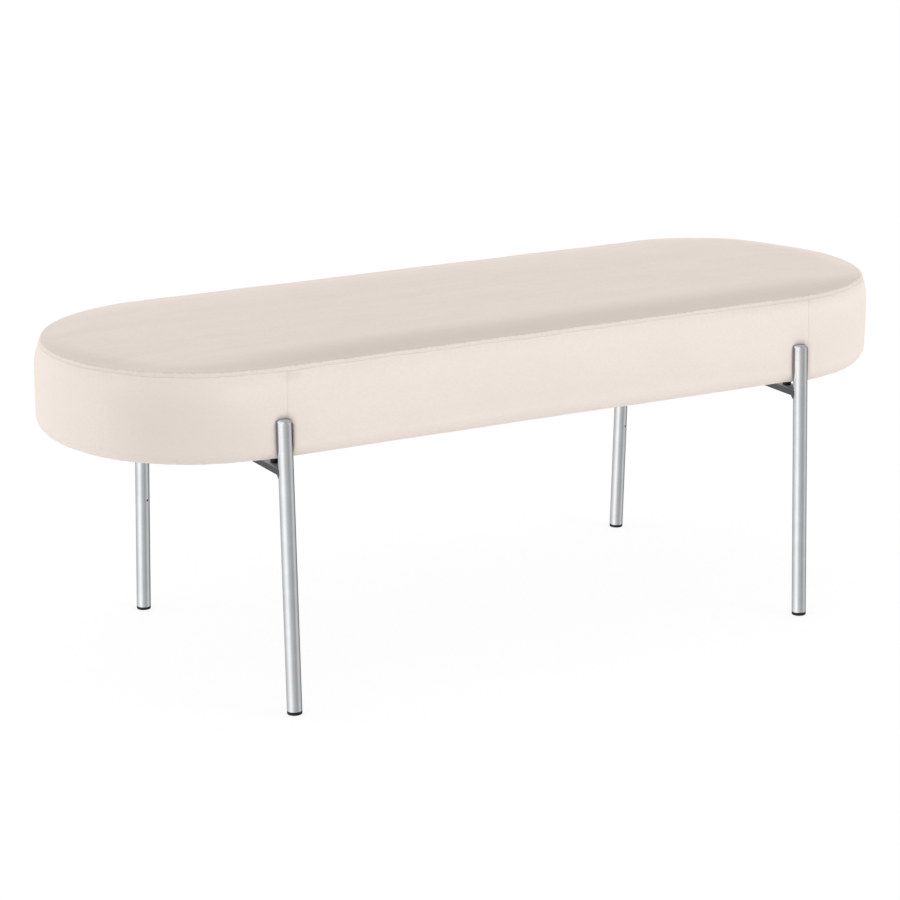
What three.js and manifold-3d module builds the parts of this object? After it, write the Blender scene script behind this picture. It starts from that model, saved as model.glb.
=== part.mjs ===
// Upholstered bench: a long, round-ended padded seat on two chromed tube frames.
// Millimetres, +Z up. The origin lies on the floor under the middle of the seat.
// +X runs along the seat and -Y faces the front.

import * as THREE from "three";
import { mergeVertices } from "three/addons/utils/BufferGeometryUtils.js";
import Module from "manifold-3d";

const wasm = await Module();
wasm.setup();

// Clearances between pieces
const fit = {
  gap: 0.3,
  overrun: 5,
  weldTolerance: 1e-4,
};

// Seat, measured over its cover
const seat = {
  length: 1250,
  width: 446,
  height: 461,
  thickness: 125,
  crown: 4,
  rimRadius: 4,
  drawIn: 8,
  drawDepth: 46,
  lowerRadius: 20,
};

// Velvet cover: a top panel sewn to four band pieces, which are folded under the board
const cover = {
  thickness: 1.2,
  seamDrop: 6,
  hemWidth: 27,
};

// Fibre layer between the foam and the top panel
const wadding = {
  thickness: 5,
};

// Plywood board that carries the foam
const board = {
  thickness: 15,
  edgeInset: 13,
};

// Pale cloth that closes the underside
const dustCover = {
  thickness: 0.5,
  edgeMargin: 1.5,
};

// Round legs, leaning outward to the front and the back, their tops pressed into the seat's sides
const leg = {
  diameter: 20,
  wall: 1.5,
  setback: 2,
  overlap: 53,
  press: 9,
  splay: 17,
};

// Dent that each leg presses into the padding: it keeps its depth to a rise over the leg, then fades out
const dent = {
  width: 32,
  reach: 30,
  rise: 5,
  fade: 32,
};

// Domed cap that closes each leg's top end
const cap = {
  height: 7,
  edgeRadius: 6,
  spigotLength: 9,
};

// Plastic glide pushed into each leg's foot
const glide = {
  height: 5,
  edgeRadius: 1.5,
  spigotLength: 14,
};

// Small hole in each leg's inner side, turned in degrees to the right, which lets the plating bath drain
const vent = {
  diameter: 3,
  height: 165,
  turn: 20,
};

// Flat tube that joins a front leg to a back leg under the seat
const bar = {
  width: 20,
  height: 10,
  wall: 1.5,
  cornerRadius: 2,
};

// Fillet weld round each end of a crossbar
const bead = {
  size: 4,
  sideSize: 1.5,
};

// Plastic spacer that holds the seat off the crossbar, with the bolt through it
const spacer = {
  diameter: 12,
  height: 8.4,
  bore: 7,
};

// Button-head bolt inside the crossbar, its washer and the tee nut in the board
const bolt = {
  diameter: 6,
  holeDiameter: 7,
  accessDiameter: 13,
  edgeDistance: 28,
  headDiameter: 10.5,
  headHeight: 3.3,
  socketWidth: 4,
  socketDepth: 2,
  tipDepth: 1.5,
};
const washer = {
  diameter: 12,
  thickness: 1.6,
};
const teeNut = {
  flangeDiameter: 19,
  flangeThickness: 1.5,
  barrelDiameter: 8,
  barrelLength: 10,
};

// How finely round shapes are divided
const tubeSides = 20;
const smallSides = 12;
const endSpans = 14;
const straightSpans = 3;
const cornerSteps = 3;
const hexagonSides = 6;

// The button head's dome, as a share of the head's height
const domeShare = 0.8;

// Where the mesh of the padding is divided beside a leg, as shares of the dent's reach
const reachShares = [0, 0.14, 0.28, 0.44, 0.68, 1];

// Where the side is divided over the legs, as shares of the way from the dents to the top seam
const sideShares = [0, 0.25, 0.5, 1];

// Where the crown is divided, as shares of the way from the rim to the middle line
const crownShares = [0.15, 0.4, 0.8];

// Heights and places worked out from the sizes above
const endRadius = seat.width / 2;
const straightHalf = seat.length / 2 - endRadius;
const underside = seat.height - seat.thickness;
const hemBottom = underside + dustCover.thickness + fit.gap;
const boardBottom = hemBottom + cover.thickness + fit.gap;
const boardTop = boardBottom + board.thickness;
const rimTop = seat.height - seat.crown;
const widestTop = seat.height - seat.drawDepth;
const drawTop = rimTop - seat.rimRadius;
const seamHeight = rimTop - cover.seamDrop;
const legRadius = leg.diameter / 2;
const legBore = legRadius - leg.wall;
const legX = straightHalf - leg.setback;
const legTop = underside + leg.overlap;
const legTopY = endRadius - leg.press + legRadius;
const legFootY = legTopY + leg.splay;
const lean = Math.atan2(leg.splay, legTop);
const legLength = legTop / Math.cos(lean);
const barTop = underside - 2 * fit.gap - spacer.height;
const barBottom = barTop - bar.height;
const barMiddle = (barTop + barBottom) / 2;
const boltY = endRadius - bolt.edgeDistance;

// Finishes
const velvet = new THREE.MeshStandardMaterial({ color: 0xe9e0d6, roughness: 0.9, metalness: 0 });
const velvetTop = new THREE.MeshStandardMaterial({ color: 0xddd4ca, roughness: 0.9, metalness: 0 });
const fibre = new THREE.MeshStandardMaterial({ color: 0xf2f2ee, roughness: 1, metalness: 0 });
const foam = new THREE.MeshStandardMaterial({ color: 0xf0e6b8, roughness: 1, metalness: 0 });
const plywood = new THREE.MeshStandardMaterial({ color: 0xc9a778, roughness: 0.7, metalness: 0 });
const liningCloth = new THREE.MeshStandardMaterial({ color: 0xdcdad6, roughness: 1, metalness: 0 });
const blackPlastic = new THREE.MeshStandardMaterial({ color: 0x17181a, roughness: 0.5, metalness: 0 });
const chrome = new THREE.MeshStandardMaterial({ color: 0xdfe2e5, roughness: 0.12, metalness: 1 });
const zinc = new THREE.MeshStandardMaterial({ color: 0xb9bcc0, roughness: 0.35, metalness: 1 });

const bench = new THREE.Group();

// Puts a named mesh into a group
function place(name, geometry, material, group = bench) {
  const mesh = new THREE.Mesh(geometry, material);
  mesh.name = name;
  group.add(mesh);
}

// A geometry as a solid that can be joined and cut
function solidOf(geometry) {
  const bare = geometry.clone();
  bare.deleteAttribute("normal");
  bare.deleteAttribute("uv");
  const merged = mergeVertices(bare, fit.weldTolerance);
  const mesh = new wasm.Mesh({
    numProp: 3,
    vertProperties: merged.attributes.position.array,
    triVerts: new Uint32Array(merged.index.array),
  });
  return new wasm.Manifold(mesh);
}

// A solid as a geometry again
function geometryOf(solid) {
  const mesh = solid.getMesh();
  const geometry = new THREE.BufferGeometry();
  geometry.setAttribute("position", new THREE.BufferAttribute(mesh.vertProperties, 3));
  geometry.setIndex(new THREE.BufferAttribute(mesh.triVerts, 1));
  geometry.computeVertexNormals();
  return geometry;
}

// A geometry less each of the cutters
function cut(geometry, ...cutters) {
  let solid = solidOf(geometry);
  for (const cutter of cutters) {
    solid = solid.subtract(solidOf(cutter));
  }
  return geometryOf(solid);
}

// A geometry from corner points and triangles
function meshOf(points, faces) {
  const geometry = new THREE.BufferGeometry();
  geometry.setAttribute("position", new THREE.Float32BufferAttribute(points.flat(), 3));
  geometry.setIndex(faces.flat());
  geometry.computeVertexNormals();
  return geometry;
}

// An upright cylinder
function rod(diameter, bottom, top, sides = smallSides) {
  const height = top - bottom;
  const geometry = new THREE.CylinderGeometry(diameter / 2, diameter / 2, height, sides);
  return geometry.rotateX(Math.PI / 2).translate(0, 0, (top + bottom) / 2);
}

// A profile of [radius, height] pairs turned round the Z axis
function turned(profile, sides = smallSides) {
  const points = profile.map(([radius, height]) => new THREE.Vector2(radius, height));
  return new THREE.LatheGeometry(points, sides).rotateX(Math.PI / 2);
}

// A quarter circle of [radius, height] pairs, from level with its centre to straight above or below it
function quarterRound(centreRadius, centreHeight, radius, steps, upward = 1) {
  return Array.from({ length: steps + 1 }, (_, step) => {
    const angle = (step / steps) * (Math.PI / 2);
    return [
      centreRadius + radius * Math.cos(angle),
      centreHeight + upward * radius * Math.sin(angle),
    ];
  });
}

// The seat's outline, counted from the left end of the straight front edge and round by the right end.
// Gives a point and its outward direction.
function outlineAt(distance) {
  const straight = 2 * straightHalf;
  const arc = Math.PI * endRadius;
  const lap = 2 * (straight + arc);
  const travelled = ((distance % lap) + lap) % lap;
  const half = travelled < lap / 2 ? 1 : -1;
  const along = half > 0 ? travelled : travelled - lap / 2;
  if (along < straight) {
    return { x: half * (along - straightHalf), y: -half * endRadius, nx: 0, ny: -half };
  }
  const turn = (along - straight) / endRadius;
  const nx = half * Math.sin(turn);
  const ny = -half * Math.cos(turn);
  return { x: half * straightHalf + endRadius * nx, y: endRadius * ny, nx, ny };
}

// How strongly a leg dents the padding at a distance along the outline from it
function dentShare(away) {
  return Math.exp(-(((2 * away) / dent.width) ** 2));
}

// The stations of one stretch of the outline between two legs, closer together beside the legs
function stretch(start, length, spans) {
  const near = reachShares.map((share) => share * dent.reach);
  const middle = length - 2 * dent.reach;
  const between = Array.from({ length: spans - 1 }, (_, i) => dent.reach + ((i + 1) / spans) * middle);
  const far = near.map((step) => length - step).reverse();
  return [...near, ...between, ...far].map((step) => ({
    ...outlineAt(start + step),
    dented: dentShare(Math.min(step, length - step)),
  }));
}

// The four stretches, from leg to leg
const lapStart = straightHalf - legX;
const straightLength = 2 * legX;
const endLength = Math.PI * endRadius + 2 * lapStart;
const halfLap = straightLength + endLength;
const stretches = {
  front: [lapStart, straightLength, straightSpans],
  right_end: [lapStart + straightLength, endLength, endSpans],
  back: [lapStart + halfLap, straightLength, straightSpans],
  left_end: [lapStart + halfLap + straightLength, endLength, endSpans],
};
const allRound = Object.values(stretches).flatMap((part) => stretch(...part).slice(0, -1));

// How far a leg's axis stands from the middle line at a height over the floor
function legYAt(height) {
  return legFootY - (leg.splay * height) / legTop;
}

// How deep the leg presses into a padding that stands in from the outline by an inset
function pressDepth(inset, height) {
  const legSide = legYAt(Math.min(height, legTop)) - legRadius - fit.gap;
  const above = Math.max(0, height - legTop - dent.rise) / dent.fade;
  const fading = above < 1 ? Math.cos((above * Math.PI) / 2) ** 2 : 0;
  return Math.max(0, endRadius - inset - legSide) * fading;
}

// One point of the cover's outer surface, as an inset from the outline, a height and the leg's dent there
function skinPoint(inset, height) {
  return { inset, height, press: pressDepth(inset, height) };
}

// One point of a surface that no leg dents
function flatPoint(inset, height) {
  return { inset, height, press: 0 };
}

// How far the side is drawn in at a height above its widest part
function drawnIn(height) {
  const rise = Math.max(0, (height - widestTop) / (drawTop - widestTop));
  return seat.drawIn * rise ** 2;
}

// Outer surface of the bands, from the hem's free edge to the top seam
function bandSkin() {
  const centre = hemBottom + seat.lowerRadius;
  const lower = quarterRound(seat.lowerRadius, centre, -seat.lowerRadius, cornerSteps)
    .reverse()
    .map(([inset, height]) => skinPoint(inset, height));
  const sideTop = legTop + dent.rise;
  const seamBottom = seamHeight - fit.gap / 2;
  const side = sideShares.map((share) => {
    const height = sideTop + share * (seamBottom - sideTop);
    return skinPoint(drawnIn(height), height);
  });
  return [skinPoint(seat.lowerRadius + cover.hemWidth, hemBottom), ...lower, ...side];
}

// Outer surface of the top panel, from the top seam over the rim to the crown
function topSkin() {
  const seam = seamHeight + fit.gap / 2;
  const centreInset = seat.drawIn + seat.rimRadius;
  const rim = quarterRound(centreInset, drawTop, -seat.rimRadius, cornerSteps, -1)
    .map(([inset, height]) => skinPoint(inset, height));
  const crown = crownShares.map((share) => {
    const inset = centreInset + share * (endRadius - centreInset);
    return skinPoint(inset, rimTop + seat.crown * (1 - (1 - share) ** 2));
  });
  return [skinPoint(drawnIn(seam), seam), ...rim, ...crown];
}

// The same surface moved inward by a depth, square to itself
function deeper(skin, depth) {
  return skin.map((point, i) => {
    const before = skin[Math.max(0, i - 1)];
    const after = skin[Math.min(skin.length - 1, i + 1)];
    const run = after.inset - before.inset;
    const rise = after.height - before.height;
    const size = Math.hypot(run, rise);
    return {
      inset: point.inset + (depth * rise) / size,
      height: point.height - (depth * run) / size,
      press: point.press,
    };
  });
}

// A skin point's place at one station of the outline
function skinAt(station, point) {
  const inset = point.inset + point.press * station.dented;
  return [station.x - station.nx * inset, station.y - station.ny * inset, point.height];
}

// A closed body that follows the whole outline.
// Its section runs from the middle of its underside, round its edge, to the middle of its top.
function ringBody(section, bottom, top) {
  const around = allRound.length;
  const points = section.flatMap((point) => allRound.map((station) => skinAt(station, point)));
  const low = points.push([0, 0, bottom]) - 1;
  const high = points.push([0, 0, top]) - 1;
  const last = (section.length - 1) * around;
  const faces = [];
  for (let i = 0; i < around; i += 1) {
    const next = (i + 1) % around;
    faces.push([low, next, i]);
    faces.push([high, last + i, last + next]);
    for (let row = 0; row < last; row += around) {
      faces.push([row + i, row + next, row + around + next]);
      faces.push([row + i, row + around + next, row + around + i]);
    }
  }
  return meshOf(points, faces);
}

// A closed strip of sheet that follows one stretch, between an outer and an inner surface.
// Both surfaces are split along the same diagonals, so that they stay parallel where a leg dents them.
function bandBody(stations, outer, inner) {
  const loop = [...outer, ...[...inner].reverse()];
  const count = loop.length;
  const points = stations.flatMap((station) => loop.map((point) => skinAt(station, point)));
  const faces = [];
  for (let i = 0; i < stations.length - 1; i += 1) {
    for (let k = 0; k < count; k += 1) {
      const here = i * count;
      const there = here + count;
      const next = (k + 1) % count;
      if (k < outer.length) {
        faces.push([here + k, there + k, there + next], [here + k, there + next, here + next]);
      } else {
        faces.push([here + k, there + k, here + next], [there + k, there + next, here + next]);
      }
    }
  }
  const end = (stations.length - 1) * count;
  for (let k = 0; k < outer.length - 1; k += 1) {
    const inside = count - 1 - k;
    faces.push([k, k + 1, inside - 1], [k, inside - 1, inside]);
    faces.push([end + k + 1, end + k, end + inside], [end + k + 1, end + inside, end + inside - 1]);
  }
  return meshOf(points, faces);
}

// An upright rod at each of the four bolts
function rodsAtBolts(diameter, bottom, top) {
  return corners.map(({ x, side }) => rod(diameter, bottom, top).translate(x, side * boltY, 0));
}

// The four corners: the place of a leg, its frame and its bolt
const corners = [
  { name: "front_left", x: -legX, side: -1 },
  { name: "front_right", x: legX, side: -1 },
  { name: "back_left", x: -legX, side: 1 },
  { name: "back_right", x: legX, side: 1 },
];

// Velvet bands round the seat's side, joined at the legs
function seatBands() {
  const outer = bandSkin();
  const inner = deeper(outer, cover.thickness);
  const holes = rodsAtBolts(bolt.holeDiameter, underside - fit.overrun, boardTop);
  for (const [name, [start, length, spans]] of Object.entries(stretches)) {
    const stations = stretch(start + fit.gap / 2, length - fit.gap, spans);
    place(`seat_band_${name}`, cut(bandBody(stations, outer, inner), ...holes), velvet);
  }
}

// Velvet top panel, rolled over the rim
function seatTopPanel() {
  const outer = topSkin();
  const inner = deeper(outer, cover.thickness).reverse();
  const geometry = ringBody([...inner, ...outer], seat.height - cover.thickness, seat.height);
  place("seat_top_panel", geometry, velvetTop);
}

// The height at which a surface stands in from the outline by an inset
function heightAtInset(skin, inset) {
  const i = skin.findIndex((point) => point.inset < inset);
  const [outer, inner] = [skin[i], skin[i - 1]];
  const share = (inset - outer.inset) / (inner.inset - outer.inset);
  return outer.height + share * (inner.height - outer.height);
}

// The crown at a depth under the top panel's outer surface
function crownUnder(depth) {
  return deeper(topSkin(), depth).slice(-crownShares.length);
}

// Polyester fibre sheet over the foam
function fibreWadding() {
  const topDepth = cover.thickness + fit.gap;
  const bottomDepth = topDepth + wadding.thickness;
  const edge = seat.drawIn + topDepth + fit.gap;
  const shoulder = edge + seat.rimRadius;
  const top = rimTop - topDepth;
  const bottom = rimTop - bottomDepth;
  const middle = (top + bottom) / 2;
  const section = [
    ...crownUnder(bottomDepth).reverse(),
    flatPoint(shoulder, bottom),
    flatPoint(edge, middle),
    flatPoint(shoulder, top),
    ...crownUnder(topDepth),
  ];
  place("fibre_wadding", ringBody(section, seat.height - bottomDepth, seat.height - topDepth), fibre);
}

// Foam block with a pocket underneath that takes the board
function foamCore() {
  const skinDepth = cover.thickness + fit.gap;
  const topDepth = skinDepth + wadding.thickness + fit.gap;
  const pocketInset = board.edgeInset - fit.gap;
  const pocketTop = boardTop + fit.gap;
  const skin = deeper(bandSkin(), skinDepth);
  const shoulderBottom = rimTop - topDepth - seat.rimRadius;
  const side = skin.filter((point) => point.inset < pocketInset && point.height < shoulderBottom);
  const shoulder = seat.drawIn + skinDepth + seat.rimRadius;
  const section = [
    flatPoint(pocketInset, pocketTop),
    flatPoint(pocketInset, heightAtInset(skin, pocketInset)),
    ...side,
    flatPoint(seat.drawIn + skinDepth, shoulderBottom),
    flatPoint(shoulder, rimTop - topDepth),
    ...crownUnder(topDepth),
  ];
  place("foam_core", ringBody(section, pocketTop, seat.height - topDepth), foam);
}

// Plywood board, its lower edge bevelled to clear the cover's fold, bored for the tee nuts
function seatBoard() {
  const bevel = Math.max(0, seat.lowerRadius - board.edgeInset) + fit.gap;
  const edge = [
    flatPoint(board.edgeInset + bevel, boardBottom),
    flatPoint(board.edgeInset, boardBottom + bevel),
    flatPoint(board.edgeInset, boardTop),
  ];
  const plain = ringBody(edge, boardBottom, boardTop);
  const bores = rodsAtBolts(teeNut.barrelDiameter + 2 * fit.gap, underside, boardTop + fit.overrun);
  const seatBottom = boardTop - teeNut.flangeThickness - fit.gap;
  const recesses = rodsAtBolts(teeNut.flangeDiameter + 2 * fit.gap, seatBottom, boardTop + fit.overrun);
  place("seat_board", cut(plain, ...bores, ...recesses), plywood);
}

// Cloth under the board, over the hem's edge
function seatDustCover() {
  const inset = seat.lowerRadius + dustCover.edgeMargin;
  const top = underside + dustCover.thickness;
  const edge = [underside, top].map((height) => flatPoint(inset, height));
  const holes = rodsAtBolts(bolt.holeDiameter, underside - fit.overrun, top + fit.overrun);
  place("dust_cover", cut(ringBody(edge, underside, top), ...holes), liningCloth);
}

// Tee nut pressed into the board from above
function teeNutAt(x, y) {
  const flangeBottom = boardTop - teeNut.flangeThickness;
  const bore = bolt.diameter / 2 + fit.gap;
  const barrel = teeNut.barrelDiameter / 2;
  const flange = teeNut.flangeDiameter / 2;
  const profile = [
    [bore, flangeBottom - teeNut.barrelLength],
    [barrel, flangeBottom - teeNut.barrelLength],
    [barrel, flangeBottom],
    [flange, flangeBottom],
    [flange, boardTop],
    [bore, boardTop],
    [bore, flangeBottom - teeNut.barrelLength],
  ];
  return turned(profile).translate(x, y, 0);
}

// Button-head bolt with a hexagon socket, put in from below, with its head inside the crossbar
function boltAt(x, y) {
  const bearing = barTop - bar.wall - 2 * fit.gap - washer.thickness;
  const headBottom = bearing - bolt.headHeight;
  const headRadius = bolt.headDiameter / 2;
  const shank = bolt.diameter / 2;
  const domeRadius = bolt.headHeight * domeShare;
  const tip = boardTop - bolt.tipDepth;
  const profile = [
    [0, headBottom],
    ...quarterRound(headRadius - domeRadius, headBottom + domeRadius, domeRadius, cornerSteps, -1).reverse(),
    [headRadius, bearing],
    [shank, bearing],
    [shank, tip],
    [0, tip],
  ];
  const acrossCorners = bolt.socketWidth / Math.cos(Math.PI / hexagonSides);
  const socket = rod(acrossCorners, headBottom - fit.overrun, headBottom + bolt.socketDepth, hexagonSides);
  return cut(turned(profile), socket).translate(x, y, 0);
}

// Washer between the bolt's head and the crossbar's upper wall
function washerAt(x, y) {
  const top = barTop - bar.wall - fit.gap;
  const bottom = top - washer.thickness;
  const bore = bolt.holeDiameter / 2;
  const edge = washer.diameter / 2;
  const profile = [[bore, bottom], [edge, bottom], [edge, top], [bore, top], [bore, bottom]];
  return turned(profile).translate(x, y, 0);
}

// Spacer between the crossbar and the seat
function spacerAt(x, y) {
  const bottom = barTop + fit.gap;
  const top = bottom + spacer.height;
  const bore = spacer.bore / 2;
  const edge = spacer.diameter / 2;
  const profile = [[bore, bottom], [edge, bottom], [edge, top], [bore, top], [bore, bottom]];
  return turned(profile, tubeSides).translate(x, y, 0);
}

// A leg's own frame: its axis is the local Z, and its origin is on the floor
function legGroup({ x, side }) {
  const group = new THREE.Group();
  group.position.set(x, side * legFootY, 0);
  group.rotation.x = side * lean;
  group.updateMatrixWorld(true);
  return group;
}

// Leg tube, with the vent hole in its inner side
function legTube(side) {
  const bottom = glide.height + fit.gap;
  const top = legLength - cap.height - fit.gap;
  const profile = [
    [legBore, bottom],
    [legRadius, bottom],
    [legRadius, top],
    [legBore, top],
    [legBore, bottom],
  ];
  const drill = rod(vent.diameter, 0, legRadius + fit.overrun);
  const turn = THREE.MathUtils.degToRad(vent.turn);
  drill.rotateX((side * Math.PI) / 2).rotateZ(side * turn);
  drill.translate(0, 0, vent.height / Math.cos(lean));
  return cut(turned(profile, tubeSides), drill);
}

// Domed cap on a leg's top end, with a spigot inside the tube
function legCap() {
  const spigot = legBore - fit.gap;
  const bottom = legLength - cap.height;
  const profile = [
    [0, bottom - cap.spigotLength],
    [spigot, bottom - cap.spigotLength],
    [spigot, bottom],
    [legRadius, bottom],
    ...quarterRound(legRadius - cap.edgeRadius, legLength - cap.edgeRadius, cap.edgeRadius, cornerSteps + 1),
    [0, legLength],
  ];
  return turned(profile, tubeSides);
}

// Glide with a spigot inside the tube, its foot level with the floor
function footGlide(side) {
  const spigot = legBore - fit.gap;
  const slant = legRadius * Math.tan(lean);
  const profile = [
    [0, -slant],
    ...quarterRound(legRadius - glide.edgeRadius, glide.edgeRadius - slant, glide.edgeRadius, cornerSteps, -1)
      .reverse(),
    [legRadius, glide.height],
    [spigot, glide.height],
    [spigot, glide.height + glide.spigotLength],
    [0, glide.height + glide.spigotLength],
  ];
  const floor = rod(2 * leg.diameter, -fit.overrun, 0).rotateX(-side * lean);
  return cut(turned(profile, tubeSides), floor);
}

// The space that a leg takes, with the clearance that other pieces keep to it
function legSpace(corner) {
  const space = rod(leg.diameter + 2 * fit.gap, 0, legLength, tubeSides);
  return space.applyMatrix4(legGroup(corner).matrixWorld);
}

// Rounded rectangle, centred on the origin
function roundedRectangle(Outline, width, height, radius) {
  const x = width / 2 - radius;
  const y = height / 2 - radius;
  const outline = new Outline();
  outline.absarc(x, y, radius, 0, Math.PI / 2);
  outline.absarc(-x, y, radius, Math.PI / 2, Math.PI);
  outline.absarc(-x, -y, radius, Math.PI, 1.5 * Math.PI);
  outline.absarc(x, -y, radius, 1.5 * Math.PI, 2 * Math.PI);
  return outline;
}

// Flat bar along Y at the height of the crossbars
function barStock(x, section) {
  const length = 2 * legFootY;
  const stock = new THREE.ExtrudeGeometry(section, {
    depth: length,
    steps: 1,
    bevelEnabled: false,
    curveSegments: cornerSteps,
  });
  return stock.rotateX(Math.PI / 2).translate(x, length / 2, barMiddle);
}

// Crossbar, notched round both legs and bored for two bolts, with a wide hole below each bolt's head
function crossbar(x) {
  const section = roundedRectangle(THREE.Shape, bar.width, bar.height, bar.cornerRadius);
  const inside = 2 * bar.wall;
  const innerRadius = Math.max(bar.cornerRadius - bar.wall, fit.gap);
  section.holes.push(roundedRectangle(THREE.Path, bar.width - inside, bar.height - inside, innerRadius));
  const ends = corners.filter((corner) => corner.x === x);
  const past = ends.map(({ side }) => pastLeg(x, side));
  const holes = ends.flatMap(({ side }) => {
    const bolted = rod(bolt.holeDiameter, barMiddle, barTop + fit.overrun);
    const open = rod(bolt.accessDiameter, barBottom - fit.overrun, barMiddle);
    return [bolted, open].map((drill) => drill.translate(x, side * boltY, 0));
  });
  return cut(barStock(x, section), ...ends.map(legSpace), ...past, ...holes);
}

// Everything beyond a leg's axis at the height of the crossbar
function pastLeg(x, side) {
  const depth = 2 * leg.diameter;
  const block = new THREE.BoxGeometry(2 * bar.width, depth, 2 * bar.height);
  return block.translate(x, side * (legYAt(barMiddle) + depth / 2), barMiddle);
}

// Weld bead, a collar round the crossbar that follows the leg
function weldBead(corner) {
  const half = bar.height / 2;
  const inner = legRadius + fit.gap;
  const profile = [
    [0, -half - bead.size],
    [inner, -half - bead.size],
    [inner + bead.size, -half],
    [inner + bead.size, half],
    [inner, half + bead.size],
    [0, half + bead.size],
  ];
  const axisY = corner.side * legYAt(barMiddle);
  const ring = turned(profile, tubeSides).translate(corner.x, axisY, barMiddle);
  const boxWidth = bar.width + 2 * bead.sideSize;
  const keep = new THREE.BoxGeometry(boxWidth, leg.diameter, leg.diameter);
  keep.translate(corner.x, axisY - corner.side * legRadius, barMiddle);
  const section = roundedRectangle(
    THREE.Shape,
    bar.width + 2 * fit.gap,
    bar.height + 2 * fit.gap,
    bar.cornerRadius + fit.gap,
  );
  const solid = solidOf(ring)
    .intersect(solidOf(keep))
    .subtract(solidOf(barStock(corner.x, section)))
    .subtract(solidOf(legSpace(corner)));
  return geometryOf(solid);
}

// The seat
seatTopPanel();
seatBands();
fibreWadding();
foamCore();
seatBoard();
seatDustCover();

// The frames
place("crossbar_left", crossbar(-legX), chrome);
place("crossbar_right", crossbar(legX), chrome);
for (const corner of corners) {
  const { name, x, side } = corner;
  const group = legGroup(corner);
  bench.add(group);
  place(`leg_${name}`, legTube(side), chrome, group);
  place(`leg_cap_${name}`, legCap(), chrome, group);
  place(`foot_glide_${name}`, footGlide(side), blackPlastic, group);
  place(`weld_bead_${name}`, weldBead(corner), chrome);
  place(`seat_spacer_${name}`, spacerAt(x, side * boltY), blackPlastic);
  place(`seat_bolt_${name}`, boltAt(x, side * boltY), zinc);
  place(`bolt_washer_${name}`, washerAt(x, side * boltY), zinc);
  place(`tee_nut_${name}`, teeNutAt(x, side * boltY), zinc);
}

export default bench;
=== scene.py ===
# Upholstered bench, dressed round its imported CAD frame: a round-ended velvet seat on two chromed
# tube frames. The CAD's axes are used: +X runs along the seat, -Y faces the front and Z is up.
# Shapes are worked out in millimetres and turned into metres when a mesh is made.

import math

import bmesh
import bpy
import numpy as np
from mathutils import Matrix, Vector, kdtree, noise


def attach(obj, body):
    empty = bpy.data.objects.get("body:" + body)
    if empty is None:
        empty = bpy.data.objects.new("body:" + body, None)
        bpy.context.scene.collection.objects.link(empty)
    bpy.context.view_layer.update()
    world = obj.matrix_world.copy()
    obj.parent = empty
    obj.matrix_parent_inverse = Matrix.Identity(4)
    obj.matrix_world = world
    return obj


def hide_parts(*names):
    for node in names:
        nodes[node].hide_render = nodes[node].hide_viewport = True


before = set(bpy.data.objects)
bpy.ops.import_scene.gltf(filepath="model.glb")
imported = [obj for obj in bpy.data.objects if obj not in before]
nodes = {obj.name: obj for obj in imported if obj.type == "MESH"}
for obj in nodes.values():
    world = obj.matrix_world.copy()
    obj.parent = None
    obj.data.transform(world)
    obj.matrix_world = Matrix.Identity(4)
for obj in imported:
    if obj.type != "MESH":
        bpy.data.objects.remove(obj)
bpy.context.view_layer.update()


# Seat board. A sheet of birch plywood, cut to the seat's outline and bored for the tee nuts.
# It is the CAD's own solid, closed in by the foam and the dust cover, with a plywood finish:
# pale face veneer with a long grain, and the plies' stripes on its edge.
def linear(red, green, blue):
    """A colour as seen, from 0 to 255, as the shader's linear colour."""
    parts = [value / 255 for value in (red, green, blue)]
    return [v / 12.92 if v <= 0.04045 else ((v + 0.055) / 1.055) ** 2.4 for v in parts] + [1.0]


def fill(tree, made, values):
    """Sets a node's sockets to values, or links them to other nodes' outputs."""
    for socket, value in values.items():
        if isinstance(value, bpy.types.NodeSocket):
            tree.links.new(value, made.inputs[socket])
        else:
            made.inputs[socket].default_value = value


def add(tree, kind, values=None, **settings):
    """A shader node with its settings and sockets."""
    made = tree.nodes.new("ShaderNode" + kind)
    for name, value in settings.items():
        setattr(made, name, value)
    fill(tree, made, values or {})
    return made


def new_group(name, inputs, outputs):
    """An empty node group with named sockets: the tree, what comes in and what goes out."""
    tree = bpy.data.node_groups.new(name, "ShaderNodeTree")
    for label, kind, value in inputs:
        socket = tree.interface.new_socket(label, in_out="INPUT", socket_type="NodeSocket" + kind)
        socket.default_value = value
    for label, kind in outputs:
        tree.interface.new_socket(label, in_out="OUTPUT", socket_type="NodeSocket" + kind)
    return tree, tree.nodes.new("NodeGroupInput").outputs, tree.nodes.new("NodeGroupOutput").inputs


def use_group(tree, group, values):
    """The outputs of a node group placed in a material."""
    made = tree.nodes.new("ShaderNodeGroup")
    made.node_tree = group
    fill(tree, made, values)
    return made.outputs


def ramp(tree, value, low, high, to_low=0.0, to_high=1.0):
    """A value eased from one range into another."""
    made = add(tree, "MapRange", {"Value": value, "From Min": low, "From Max": high,
                                  "To Min": to_low, "To Max": to_high})
    made.interpolation_type = "SMOOTHSTEP"
    return made.outputs["Result"]


def maths(tree, operation, *values):
    """The result of a maths node."""
    return add(tree, "Math", dict(enumerate(values)), operation=operation).outputs["Value"]


def times(tree, first, second):
    return maths(tree, "MULTIPLY", first, second)


def plus(tree, first, second):
    return maths(tree, "ADD", first, second)


def less(tree, first, second):
    return maths(tree, "SUBTRACT", first, second)


def mixed(tree, factor, first, second):
    """Two colours mixed by a factor."""
    made = tree.nodes.new("ShaderNodeMix")
    made.data_type = "RGBA"
    ends = {socket.identifier: number for number, socket in enumerate(made.inputs)}
    fill(tree, made, {ends["Factor_Float"]: factor, ends["A_Color"]: first, ends["B_Color"]: second})
    return next(s for s in made.outputs if s.identifier == "Result_Color")


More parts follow.
